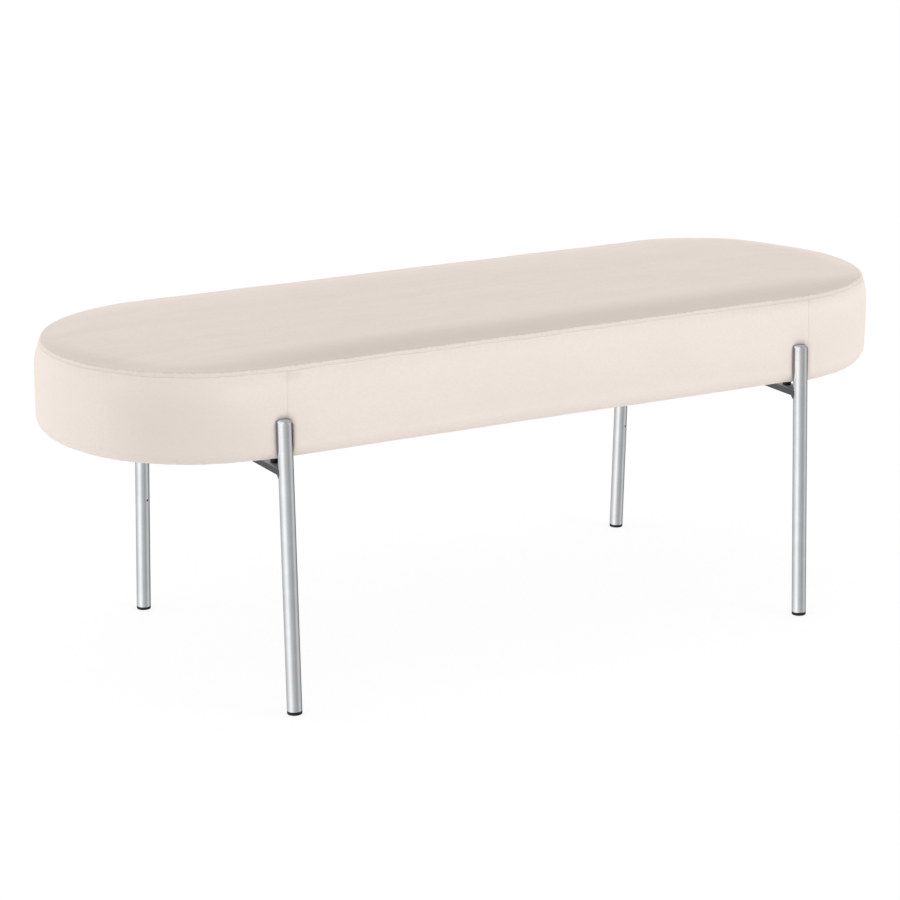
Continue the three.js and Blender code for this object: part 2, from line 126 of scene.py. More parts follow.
def tinted(tree, tone, colour, mask, amount):
    """A tone with a colour laid over it by a share of a mask."""
    return mixed(tree, times(tree, mask, amount), tone, colour)


def here(tree):
    """The place on the object, in metres."""
    return add(tree, "TexCoord").outputs["Object"]


def split(tree, vector):
    """The X, Y and Z of a vector."""
    return add(tree, "SeparateXYZ", {0: vector}).outputs


def upright_share(tree):
    """How far the surface faces up, from -1 to 1."""
    return split(tree, add(tree, "NewGeometry").outputs["Normal"])["Z"]


noise_middle = 0.5


def grain_group():
    """Fine even grain, such as pile, fibre or moulded texture."""
    tree, source, sink = new_group(
        "fine_grain",
        [("Scale", "Float", 500.0), ("Stretch", "Vector", (1, 1, 1)), ("Roughness", "Float", 0.6)],
        [("Height", "Float"), ("Mask", "Float")],
    )
    spread = add(tree, "VectorMath", {0: here(tree), 1: source["Stretch"]}, operation="MULTIPLY")
    cloud = add(tree, "TexNoise", {"Vector": spread.outputs["Vector"], "Scale": source["Scale"],
                                   "Detail": 3.0, "Roughness": source["Roughness"]})
    height = cloud.outputs["Fac"]
    tree.links.new(height, sink["Height"])
    tree.links.new(ramp(tree, height, 0.35, 0.65), sink["Mask"])
    return tree


def patch_group():
    """Soft large patches, such as brushed pile, handling marks or uneven stain."""
    tree, source, sink = new_group(
        "soft_patches",
        [("Scale", "Float", 8.0), ("Stretch", "Vector", (1, 1, 1)), ("Softness", "Float", 0.2)],
        [("Mask", "Float")],
    )
    spread = add(tree, "VectorMath", {0: here(tree), 1: source["Stretch"]}, operation="MULTIPLY")
    cloud = add(tree, "TexNoise", {"Vector": spread.outputs["Vector"], "Scale": source["Scale"],
                                   "Detail": 4.0, "Roughness": 0.5, "Distortion": 0.6})
    low = less(tree, noise_middle, source["Softness"])
    high = plus(tree, noise_middle, source["Softness"])
    tree.links.new(ramp(tree, cloud.outputs["Fac"], low, high), sink["Mask"])
    return tree


fine_grain = grain_group()
soft_patches = patch_group()


def new_material(name, **constants):
    """A material with one Principled shader, and its node tree."""
    material = bpy.data.materials.new(name)
    material.use_nodes = True
    shader = material.node_tree.nodes["Principled BSDF"]
    for label, value in constants.items():
        shader.inputs[label.replace("_", " ")].default_value = value
    return material, material.node_tree, shader.inputs


def bumped(tree, shader, height, distance, strength=1.0):
    """Gives a shader the relief of a height, in metres."""
    relief = add(tree, "Bump", {"Height": height, "Distance": distance, "Strength": strength})
    tree.links.new(relief.outputs["Normal"], shader["Normal"])


ply_stripes = 4200.0


def plywood_finish():
    material, tree, shader = new_material("birch_plywood", Roughness=0.6)
    grain = use_group(tree, fine_grain, {"Scale": 60.0, "Stretch": (0.6, 12, 12)})
    stain = use_group(tree, soft_patches, {"Scale": 5.0, "Stretch": (1, 4, 1), "Softness": 0.25})
    face = mixed(tree, grain["Mask"], linear(214, 188, 150), linear(190, 158, 116))
    face = tinted(tree, face, linear(176, 142, 100), stain["Mask"], 0.4)
    plies = maths(tree, "SINE", times(tree, split(tree, here(tree))["Z"], ply_stripes))
    edge = mixed(tree, ramp(tree, plies, -0.4, 0.4), linear(204, 176, 136), linear(142, 106, 68))
    upright = ramp(tree, maths(tree, "ABSOLUTE", upright_share(tree)), 0.5, 0.8)
    tree.links.new(mixed(tree, upright, edge, face), shader["Base Color"])
    bumped(tree, shader, grain["Height"], 0.0002)
    return material


def finish_node(name, material):
    """Puts a finish on a CAD node that stays as it is."""
    node = nodes[name]
    node.data.materials.clear()
    node.data.materials.append(material)


finish_node("seat_board", plywood_finish())

# Tee nuts. Zinc-plated steel barrels with a flange, pressed into the board from above, one for
# each bolt. The foam hides them, so they too stay the CAD's solids, in the finish of the bolts.
corners = {
    "front_left": (-1, -1),
    "front_right": (1, -1),
    "back_left": (-1, 1),
    "back_right": (1, 1),
}


def zinc_finish():
    material, tree, shader = new_material("zinc_plate", Metallic=1.0)
    cloud = use_group(tree, soft_patches, {"Scale": 90.0, "Softness": 0.2})
    grain = use_group(tree, fine_grain, {"Scale": 1800.0})
    tone = mixed(tree, cloud["Mask"], linear(196, 198, 202), linear(168, 171, 176))
    tree.links.new(tone, shader["Base Color"])
    rough = ramp(tree, grain["Height"], 0.3, 0.7, 0.28, 0.42)
    tree.links.new(rough, shader["Roughness"])
    bumped(tree, shader, grain["Height"], 0.00003)
    return material


zinc_plate = zinc_finish()
for corner in corners:
    finish_node("tee_nut_" + corner, zinc_plate)

# Foam block. Cut polyurethane foam, as long and as wide as the seat, with a pocket underneath
# that takes the board. Its lip under the board's edge gives the seat its soft lower corner, and
# the legs press four dents into its sides.
half_straight = 402.0
end_radius = 223.0
seat_top = 461.0
rim_top = 457.0
rim_radius = 4.0
draw_in = 8.0
widest_at = 415.0
lower_radius = 20.0
hem_bottom = 336.8
hem_width = 27.0
half_lap = 2 * half_straight + math.pi * end_radius

leg_x = 400.0
leg_radius = 10.0
leg_top = 389.0
leg_foot_y = 241.0
leg_top_y = 224.0
leg_places = np.array([2.0, 802.0, half_lap + 2.0, half_lap + 802.0])


def outline_at(travel):
    """Points and outward ways of the seat's outline, at distances from its front left corner."""
    travel = np.mod(np.asarray(travel, float), 2 * half_lap)
    flip = np.where(travel < half_lap, 1.0, -1.0)
    along = np.where(travel < half_lap, travel, travel - half_lap)
    turn = np.maximum(along - 2 * half_straight, 0) / end_radius
    out = np.stack([np.sin(turn), -np.cos(turn)], -1)
    x = np.minimum(along, 2 * half_straight) - half_straight + end_radius * out[..., 0]
    return np.stack([x, end_radius * out[..., 1]], -1) * flip[..., None], out * flip[..., None]


def side_path():
    """The cover's section as (inset, height), from the hem's edge round the side to the middle."""
    quarter = np.linspace(0, math.pi / 2, 25)
    hem = [(lower_radius + hem_width, hem_bottom)]
    lower = [(lower_radius * (1 - math.sin(a)), hem_bottom + lower_radius * (1 - math.cos(a)))
             for a in quarter]
    draw_top = rim_top - rim_radius
    rise = np.linspace(0, 1, 40)
    side = [(draw_in * t * t, widest_at + t * (draw_top - widest_at)) for t in rise]
    rim = [(draw_in + rim_radius * (1 - math.cos(a)), draw_top + rim_radius * math.sin(a))
           for a in quarter[1:]]
    start = draw_in + rim_radius
    crown = [(start + t * (end_radius - start), rim_top + (seat_top - rim_top) * (1 - (1 - t) ** 2))
             for t in np.linspace(0, 1, 80)[1:]]
    return np.array(hem + lower + side + rim + crown)


path = side_path()
path_steps = np.concatenate([[0], np.cumsum(np.linalg.norm(np.diff(path, axis=0), axis=1))])
seam_height = 451.0
side_rows = (path[:, 1] >= widest_at) & (path[:, 0] < draw_in)
seam_step = float(np.interp(seam_height, path[side_rows, 1], path_steps[side_rows]))
path_length = float(path_steps[-1])


path_look = 0.8


def on_path(steps):
    """(inset, height) and the outward direction in the section, at distances along the path."""
    steps = np.asarray(steps, float)
    spot = np.stack([np.interp(steps, path_steps, path[:, k]) for k in (0, 1)], -1)
    ahead = np.clip(steps + path_look, 0, path_length)
    behind = np.clip(steps - path_look, 0, path_length)
    run = np.stack([np.interp(ahead, path_steps, path[:, k])
                    - np.interp(behind, path_steps, path[:, k]) for k in (0, 1)], -1)
    run[steps >= path_length] = (1.0, 0.0)
    run /= np.linalg.norm(run, axis=-1, keepdims=True)
    return spot, np.stack([-run[..., 1], run[..., 0]], -1)


def leg_y(height):
    """How far a leg's axis stands from the middle line at a height."""
    return leg_foot_y - (leg_foot_y - leg_top_y) * np.minimum(height, leg_top) / leg_top


dent_clear = 0.4
dent_half_width = 8.2
dent_closes = 4.6
bulge_share, bulge_at, bulge_reach = 0.1, 19.0, 7.0


def leg_dent(away, inset, height):
    """How deep a leg presses in, at a distance beside it: round its tube, then in a soft curve."""
    reach = leg_radius + dent_clear
    depth = np.maximum(end_radius - inset - (leg_y(height) - reach), 0)
    shoulder = np.sqrt(np.maximum(reach ** 2 - (reach - 0.6 * depth) ** 2, 0.01))
    shoulder = np.minimum(shoulder, dent_half_width)
    left = depth - (reach - np.sqrt(reach ** 2 - shoulder ** 2))
    slope = shoulder / np.sqrt(reach ** 2 - shoulder ** 2)
    near = np.minimum(away, shoulder)
    round_tube = depth - (reach - np.sqrt(reach ** 2 - near ** 2))
    beyond = left * np.exp(-(away - shoulder) * slope / np.maximum(left, 0.01))
    above = np.maximum(height - leg_top + 0.5, 0)
    fade = np.exp(-((above / dent_closes) ** 1.4))
    bulge = bulge_share * depth * np.exp(-(((away - bulge_at) / bulge_reach) ** 2))
    return (np.where(away < shoulder, round_tube, beyond) - bulge) * fade


def nearest(travel, places):
    """The distance along the outline to the nearest of some places."""
    gaps = np.abs(np.mod(travel[..., None] - places + half_lap, 2 * half_lap) - half_lap)
    return gaps.min(-1)


def ripple(points, length, seed):
    """Smooth noise from -1 to 1 at points of the outline, with waves of about a length."""
    return np.array([noise.noise(Vector((x / length, y / length, seed))) for x, y in points])


def eased(value, low, high):
    """A value's place between two others, from 0 to 1, eased at both ends."""
    part = np.clip((value - low) / (high - low), 0, 1)
    return part * part * (3 - 2 * part)


left_fuller, rim_further, rim_lower, edge_hangs = 4.5, 2.5, 5.4, 1.8


def stuffing(x, inset, height):
    """How far out and how far down the stuffed seat departs from its pattern.

    Its lower edge hangs over the board's, most of all at the ends, its left end is fuller, and at
    the right end the rim stands further out and lower."""
    right = eased(x, 525, 612)
    to_middle = 1 - np.clip(inset / end_radius, 0, 1)
    rim_out = rim_further * right * eased(height, 420, 450)
    outward = to_middle * (left_fuller * eased(-x, 430, 590) + rim_out)
    hang = edge_hangs + eased(x, -100, 300) + 0.9 * eased(-x, 450, 520) + 2.8 * eased(x, 380, 430)
    hang = hang * eased(inset, 21, 14) * eased(height, 420, 345)
    return outward, hang + rim_lower * right * eased(height, 385, 450) * to_middle ** 2


def skin(travel, steps, depth=0.0, swelling=None):
    """The padding's surface at a depth under the cover, as a grid of rows by stations.

    Travel round the outline is a row of stations, or one row for each step along the path, and
    the steps can differ from station to station."""
    spot, out = outline_at(travel)
    steps = steps[:, None] if steps.ndim == 1 else steps
    (inset, height), (in_way, up_way) = (np.moveaxis(part, -1, 0) for part in on_path(steps))
    dent = leg_dent(nearest(travel, leg_places), inset, height)
    dent = dent * (height < seam_height + 2) * (np.abs(up_way) < 0.999)
    away = -in_way
    outward, down = stuffing(spot[..., 0], inset, height)
    grid = np.empty(dent.shape + (3,))
    normal = np.empty_like(grid)
    for k in (0, 1):
        grid[:, :, k] = spot[..., k] - out[..., k] * (inset - outward + dent + away * depth)
        normal[:, :, k] = out[..., k] * away
    grid[:, :, 2] = height - up_way * depth - down
    normal[:, :, 2] = up_way
    normal[:, :, :2] *= (np.abs(up_way) < 0.9999)[:, :, None]
    if swelling is not None:
        push = (swelling(grid) * normal).sum(-1, keepdims=True)
        grid += normal * np.maximum(push, 0)
    return grid, normal


def new_mesh(name, points, faces):
    """A mesh from points in millimetres."""
    mesh = bpy.data.meshes.new(name)
    points = np.asarray(points, float).reshape(-1, 3) / 1000
    mesh.from_pydata([tuple(point) for point in points], [], faces)
    return mesh


def cleaned(mesh, join, thinnest=None):
    """Joins points closer than a distance in metres, and turns the faces outward."""
    work = bmesh.new()
    work.from_mesh(mesh)
    bmesh.ops.remove_doubles(work, verts=work.verts, dist=join)
    if thinnest is not None:
        bmesh.ops.dissolve_degenerate(work, edges=work.edges, dist=thinnest)
    bmesh.ops.recalc_face_normals(work, faces=work.faces)
    work.to_mesh(mesh)
    work.free()
    return mesh


def placed(name, data):
    """An object in the scene."""
    made = bpy.data.objects.new(name, data)
    bpy.context.scene.collection.objects.link(made)
    return made


sharp_edge = math.radians(35)


def dress(mesh, name, material):
    """An object from a mesh in metres, cleaned, with its finish and its body."""
    cleaned(mesh, join=1e-6, thinnest=1e-7)
    mesh.polygons.foreach_set("use_smooth", [True] * len(mesh.polygons))
    mesh.set_sharp_from_angle(angle=sharp_edge)
    mesh.materials.clear()
    mesh.materials.append(material)
    made = placed(name, mesh)
    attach(made, "root")
    return made


def mesh_object(name, points, faces, material):
    """An object of the bench from points in millimetres, smooth, riding on the bench."""
    return dress(new_mesh(name, points, faces), name, material)


def ring_faces(rows, count, first=0):
    """Faces between closed rings of points."""
    faces = []
    for row in range(rows - 1):
        faces += joining_faces(first + row * count, first + (row + 1) * count, count)
    return faces


def joining_faces(first, second, count):
    """Faces between two closed rings of points that start at given numbers."""
    return [(first + i, first + (i + 1) % count, second + (i + 1) % count, second + i)
            for i in range(count)]


def even(start, end, count):
    """Distances spread evenly, the end left out."""
    return np.linspace(start, end, count, endpoint=False)


def stations(gap):
    """Distances round the outline about a gap apart, opposite each other on the long sides."""
    straight = even(0, 2 * half_straight, round(2 * half_straight / gap))
    turn = even(2 * half_straight, half_lap, round(math.pi * end_radius / gap))
    half = np.concatenate([straight, turn])
    return np.concatenate([half, half + half_lap])


def foam_finish():
    material, tree, shader = new_material("cut_foam", Roughness=0.95)
    grain = use_group(tree, fine_grain, {"Scale": 420.0, "Roughness": 0.7})
    tint = use_group(tree, soft_patches, {"Scale": 9.0, "Softness": 0.25})
    tone = mixed(tree, grain["Mask"], linear(236, 226, 186), linear(214, 200, 150))
    tone = tinted(tree, tone, linear(226, 208, 152), tint["Mask"], 0.5)
    tree.links.new(tone, shader["Base Color"])
    cells = add(tree, "TexVoronoi", {"Vector": here(tree), "Scale": 900.0})
    bumped(tree, shader, cells.outputs["Distance"], 0.0005)
    return material


foam_gap = 4.7
pocket, pocket_top, pocket_lip = 12.7, 353.6, 1.8
foam_shoulder = 447.0
foam_under_cover, foam_under_fibre = 2.1, 7.4


def foam_block():
    travel = stations(foam_gap)
    shoulder_step = float(np.interp(foam_shoulder, path[side_rows, 1], path_steps[side_rows]))
    lip_step = float(path_steps[np.argmax(path[:, 0] < pocket + pocket_lip)])
    side, _ = skin(travel, np.linspace(lip_step, shoulder_step, 44), depth=foam_under_cover)
    crown_rows = np.concatenate([[seam_step + 9.0], np.linspace(seam_step + 16, path_length, 16)])
    crown, _ = skin(travel, crown_rows, depth=foam_under_fibre)
    spot, out = outline_at(travel)
    under = np.concatenate([spot - out * end_radius, np.full((len(travel), 1), pocket_top)], 1)
    wall_top = np.concatenate([spot - out * pocket, np.full((len(travel), 1), pocket_top)], 1)
    wall_low = wall_top.copy()
    wall_low[:, 2] = side[0, :, 2]
    rings = np.concatenate([[under, wall_top, wall_low], side, crown])
    faces = ring_faces(len(rings), len(travel))
    foam = mesh_object("foam_block", rings.reshape(-1, 3), faces, foam_finish())
    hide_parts("foam_core")


foam_block()

# Fibre wadding. A sheet of white polyester fibre, 5 mm thick, laid over the foam's top so that
# the cover slides on smoothly and keeps a soft crown. Its cut edge is thin and uneven.
fibre_top, fibre_low = 1.9, 6.6
edge_reach, edge_fray = 1.6, 0.5


def fibre_finish():
    material, tree, shader = new_material("polyester_fibre", Roughness=1.0, Sheen_Weight=0.3)
    hair = use_group(tree, fine_grain, {"Scale": 260.0, "Stretch": (1, 4, 4), "Roughness": 0.8})
    lumps = use_group(tree, soft_patches, {"Scale": 30.0, "Softness": 0.25})
    tone = mixed(tree, hair["Mask"], linear(246, 246, 242), linear(224, 225, 222))
    tone = tinted(tree, tone, linear(214, 215, 212), lumps["Mask"], 0.3)
    tree.links.new(tone, shader["Base Color"])
    bumped(tree, shader, hair["Height"], 0.0008)
    return material


def fibre_sheet():
    travel = stations(foam_gap)
    rows = np.linspace(seam_step + 10.0, path_length, 20)
    top, _ = skin(travel, rows, depth=fibre_top)
    low, _ = skin(travel, rows, depth=fibre_low)
    spot, out = outline_at(travel)
    fray = edge_fray * ripple(spot, 9.0, 4.1)[:, None]
    edge = (top[0] + low[0]) / 2
    edge[:, :2] += out * (edge_reach + fray)
    rings = np.concatenate([low[::-1], [edge], top])
    sheet = mesh_object("fibre_sheet", rings.reshape(-1, 3), ring_faces(len(rings), len(travel)),
                        fibre_finish())
    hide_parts("fibre_wadding")


fibre_sheet()

# Cover. Short-pile polyester velvet, sewn from five pieces: a top panel that rolls over the rim,
# and four bands that meet in upright seams at the legs. The bands are pulled tight round the
# lower corner and folded under the board, with small pleats round the ends.
cloth = 1.2
fold = 0.4
pile_fringe = 0.04
seam_places = np.array([7.2, 816.0, half_lap + 7.2, half_lap + 816.0])
seam_slant = 0.565


pad_weave, pad_steps = 0.006, 20
most_swelling, blend_reach = 0.004, 0.014
stuffed_cloth = {
    "quality": 5,
    "mass": 0.3,
    "tension_stiffness": 30,
    "compression_stiffness": 12,
    "shear_stiffness": 8,
    "bending_stiffness": 0.8,
    "use_pressure": True,
    "uniform_pressure_force": 4,
    "vertex_group_mass": "held",
    "pin_stiffness": 1.0,
}


def swelling_field():
    """How the stuffed seat swells between its seams: the cover as cloth, blown up a little."""
    travel = stations(7.2)
    steps = np.concatenate([np.arange(4.0, path_length, 6.0), [path_length]])
    grid, _ = skin(travel, steps, depth=1.0)
    closing = grid[0].copy()
    spot, out = outline_at(travel)
    closing[:, :2] = spot - out * end_radius
    rings = np.concatenate([[closing], grid])
    pad = new_mesh("pad", rings, ring_faces(len(rings), len(travel)))
    body = placed("pad", cleaned(pad, join=1e-5))
    remesh = body.modifiers.new("even", "REMESH")
    remesh.mode = "VOXEL"
    remesh.voxel_size = pad_weave
    graph = bpy.context.evaluated_depsgraph_get()
    remeshed = bpy.data.meshes.new_from_object(body.evaluated_get(graph))
    body.modifiers.clear()
    body.data = remeshed
    start = np.empty(len(remeshed.vertices) * 3)
    remeshed.vertices.foreach_get("co", start)
    start = start.reshape(-1, 3)
    held = body.vertex_groups.new(name="held")
    weights = held_weights(start * 1000)
    for index, weight in enumerate(weights):
        held.add([index], float(weight), "REPLACE")
    settings = body.modifiers.new("cloth", "CLOTH").settings
    for label, value in stuffed_cloth.items():
        setattr(settings, label, value)
    settings.effector_weights.gravity = 0
    scene = bpy.context.scene
    for number in range(1, pad_steps + 1):
        scene.frame_set(number)
    graph = bpy.context.evaluated_depsgraph_get()
    swollen = body.evaluated_get(graph).to_mesh()
    end = np.empty(len(swollen.vertices) * 3)
    swollen.vertices.foreach_get("co", end)
    moved = end.reshape(-1, 3) - start
    scene.frame_set(1)
    bpy.data.objects.remove(body)
    size = np.linalg.norm(moved, axis=1, keepdims=True)
    moved *= np.minimum(1, most_swelling / np.maximum(size, 1e-9))
    tree = kdtree.KDTree(len(start))
    for index, point in enumerate(start):
        tree.insert(point, index)
    tree.balance()

    def field(grid):
        shift = np.zeros((grid.size // 3, 3))
        for index, point in enumerate(grid.reshape(-1, 3) / 1000):
            found = tree.find_range(point, blend_reach)
            weights = np.array([(1 - (f[2] / blend_reach) ** 2) ** 2 for f in found])
            shift[index] = weights @ moved[[f[1] for f in found]] / weights.sum()
        return shift.reshape(grid.shape) * 1000

    return field


def held_weights(points):
    """How firmly the cloth is held: under the board, at the seams and where the legs press."""
    x, y, z = points.T
    under = np.clip((344.0 - z) / 6.0, 0, 1)
    near_side = np.hypot(np.maximum(np.abs(x) - half_straight, 0), y) > 200
    seam = np.exp(-(((z - seam_height) / 5.0) ** 2)) * near_side
    beside = np.abs(np.abs(x) - leg_x)
    legs = np.exp(-((beside / 9.0) ** 2)) * np.clip((400.0 - z) / 12.0, 0, 1) * (np.abs(y) > 150)
    return np.clip(np.maximum(np.maximum(under, 0.9 * seam), legs), 0, 1)


swell = swelling_field()
edge_steps = [0.0, 0.03, 0.09, 0.17, 0.27, fold]


def edge_round(away):
    """How far the cloth's edge turns in, at a distance from the edge."""
    near = np.clip(fold - away, 0, fold)
    return fold - np.sqrt(fold ** 2 - near ** 2)


def seam_sway(travel, across):
    """How far the top seam wanders up and down, and less so the cloth on either side of it."""
    spot, _ = outline_at(travel)
    wander = 0.9 * ripple(spot, 62.0, 12.4) + 0.45 * ripple(spot, 23.0, 5.8)
    return wander[None, :] * np.exp(-across / 16.0)[:, None]


seam_pull, seam_pull_reach = 0.5, 2.6


def drawn_in(from_seam):
    """How the thread draws the cloth in, at a distance from a seam."""
    return -seam_pull * np.exp(-((from_seam / seam_pull_reach) ** 2))


def puckers(travel, across, lower):
    """Small gathers that cross the top seam, in clusters, and the slow waves of a sewn edge."""
    spot, _ = outline_at(travel)
    fine = ripple(spot, 8.0, 1.7) + 0.6 * ripple(spot, 4.2, 7.3)
    clusters = np.clip(0.55 + 1.1 * ripple(spot, 70.0, 3.9), 0.15, 1.3)
    clusters += 0.8 * np.exp(-(((travel - seam_places[1]) / 120.0) ** 2))
    seams = np.exp(-((nearest(travel, seam_places) / 30.0) ** 2))
    slow = ripple(spot, 55.0, 9.2) + 0.5 * ripple(spot, 24.0, 2.4)
    reach = 11.0 if lower else 14.0
    rise = np.clip(across / 3.0, 0.2, 1) * np.exp(-across / reach)
    gather = (0.42 * (clusters + 0.8 * seams) * fine)[None, :] * rise[:, None]
    sewn = (0.45 * slow)[None, :] * np.exp(-across / 30.0)[:, None]
    return gather + sewn + drawn_in(across)[:, None]


def uneven(grid):
    """The slow unevenness of a hand-stuffed surface, in millimetres."""
    aside = Vector((7, 3, 1))
    lump = [0.55 * noise.noise(Vector(p) / 95.0) + 0.25 * noise.noise(Vector(p) / 38.0 + aside)
            for p in grid.reshape(-1, 3)]
    return np.array(lump).reshape(grid.shape[:2])


def cover_piece(name, travel, steps, edge, lift, closed, material):
    """A piece of the cover: its outer face, its inner face and a rounded edge."""
    outer, normal = skin(travel, steps, swelling=swell)
    lifted = lift(outer)[:, :, None] * normal
    inner = outer + lifted - normal * cloth
    outer = outer + lifted - normal * edge_round(edge)[:, :, None]
    rows, count = outer.shape[:2]
    index = np.arange(rows * count).reshape(rows, count)
    shared = edge <= 1e-6
    inside = np.where(shared, index, index + rows * count)
    points = np.concatenate([outer.reshape(-1, 3), inner.reshape(-1, 3)])
    faces = []
    wide = count if closed else count - 1
    for row in range(rows - 1):
        for i in range(wide):
            j = (i + 1) % count
            faces.append((index[row, i], index[row, j], index[row + 1, j], index[row + 1, i]))
            faces.append((inside[row, i], inside[row + 1, i], inside[row + 1, j], inside[row, j]))
    used = sorted({int(v) for face in faces for v in face})
    renamed = {old: new for new, old in enumerate(used)}
    faces = [tuple(renamed[int(v)] for v in face) for face in faces]
    return mesh_object(name, points[used], faces, material)


def spot_mask(tree, place, centre, reach):
    """A soft round mask about a point, with its reach along each axis."""
    away = add(tree, "VectorMath", {0: place, 1: centre}, operation="SUBTRACT").outputs["Vector"]
    scaled = add(tree, "VectorMath", {0: away, 1: reach}, operation="DIVIDE").outputs["Vector"]
    size = add(tree, "VectorMath", {0: scaled}, operation="LENGTH").outputs["Value"]
    return ramp(tree, size, 1.0, 0.1)


def above_zero(tree, value):
    return maths(tree, "MAXIMUM", value, 0.0)


def diagonal(tree, first, second):
    """The long side over two sides that meet in a right angle."""
    return maths(tree, "SQRT", plus(tree, times(tree, first, first), times(tree, second, second)))


def right_of_leg(tree, axes):
    """How far a place lies to the right of the nearer leg's axis, in metres."""
    return less(tree, axes["X"], times(tree, maths(tree, "SIGN", axes["X"]), leg_x / 1000))


def leg_shade(tree, place):
    """A mask of painted shade on the pile close round the legs and their caps."""
    axes = split(tree, place)
    x = less(tree, maths(tree, "ABSOLUTE", axes["X"]), leg_x / 1000)
    slope = (leg_foot_y - leg_top_y) / leg_top
    axis = less(tree, leg_foot_y / 1000, times(tree, axes["Z"], slope))
    y = less(tree, maths(tree, "ABSOLUTE", axes["Y"]), axis)
    beside = above_zero(tree, less(tree, diagonal(tree, x, y), leg_radius / 1000))
    above = times(tree, above_zero(tree, less(tree, axes["Z"], leg_top / 1000)), 5.0)
    away = diagonal(tree, beside, above)
    far_side = ramp(tree, right_of_leg(tree, axes), 0.004, 0.011, 0.0, 0.0034)
    far_side = times(tree, far_side, ramp(tree, axes["Z"], 0.388, 0.380))
    away = less(tree, away, far_side)
    close = ramp(tree, away, 0.0018, 0.0006)
    wide = ramp(tree, away, 0.005, 0.0005)
    shade = plus(tree, times(tree, close, 0.5), times(tree, wide, 0.2))
    return times(tree, shade, ramp(tree, above, 0.0, 0.002, 1.0, 0.15))


def mirrored_plain(tree, place, reach, left, right):
    """A painted reflection: near each leg the cloth glows in plain tones for glossy rays only, set left
    and right of the leg, for metal close by to mirror in place of the cloth.
    """
    axes = split(tree, place)
    beside = right_of_leg(tree, axes)
    near = ramp(tree, maths(tree, "ABSOLUTE", beside), 1.5 * reach, reach)
    edge = ramp(tree, beside, -0.0175, -0.0115, 0.0, 0.8)
    low = plus(tree, edge, ramp(tree, beside, 0.0, 0.013, 0.0, 0.2))
    high = ramp(tree, beside, -0.012, 0.0, 0.0, 0.55)
    raised = ramp(tree, axes["Z"], 0.386, 0.3895)
    lowered = less(tree, 1.0, raised)
    rightward = plus(tree, times(tree, high, raised), times(tree, low, lowered))
    tone = mixed(tree, rightward, left, right)
    glow = add(tree, "Emission", {"Color": tone}).outputs[0]
    glossy = times(tree, add(tree, "LightPath").outputs["Is Glossy Ray"], near)
    surface = tree.nodes["Principled BSDF"].outputs["BSDF"]
    blend = add(tree, "MixShader", {0: glossy, 1: surface, 2: glow}).outputs[0]
    tree.links.new(blend, tree.nodes["Material Output"].inputs["Surface"])


def velvet_finish(name, light, shade, sheen):
    """Velvet with soft patches where the pile lies another way, a fine grain, and sheen."""
    material, tree, shader = new_material(name, Specular_IOR_Level=0.15, Sheen_Roughness=0.5)
    shader["Sheen Weight"].default_value = sheen
    shader["Sheen Tint"].default_value = linear(255, 246, 238)
    place = here(tree)
    pile = use_group(tree, fine_grain, {"Scale": 1100.0, "Roughness": 0.7})
    tufts = use_group(tree, fine_grain, {"Scale": 240.0, "Roughness": 0.6})
    blotch = use_group(tree, soft_patches, {"Scale": 11.0, "Softness": 0.22})
    tone = mixed(tree, times(tree, blotch["Mask"], 0.4), light, shade)
    return material, tree, shader, place, pile, tufts, tone


def pile_grain(tree, shader, pile, tufts, tone, deep):
    """Breaks up a velvet's tone with its pile, and gives it the pile's relief."""
    tone = tinted(tree, tone, deep, tufts["Mask"], 0.16)
    tone = tinted(tree, tone, deep, pile["Mask"], 0.18)
    tree.links.new(tone, shader["Base Color"])
    tree.links.new(ramp(tree, pile["Height"], 0.3, 0.7, 0.8, 0.95), shader["Roughness"])
    bumped(tree, shader, pile["Height"], 0.00025, 0.6)


raggedness = 0.012


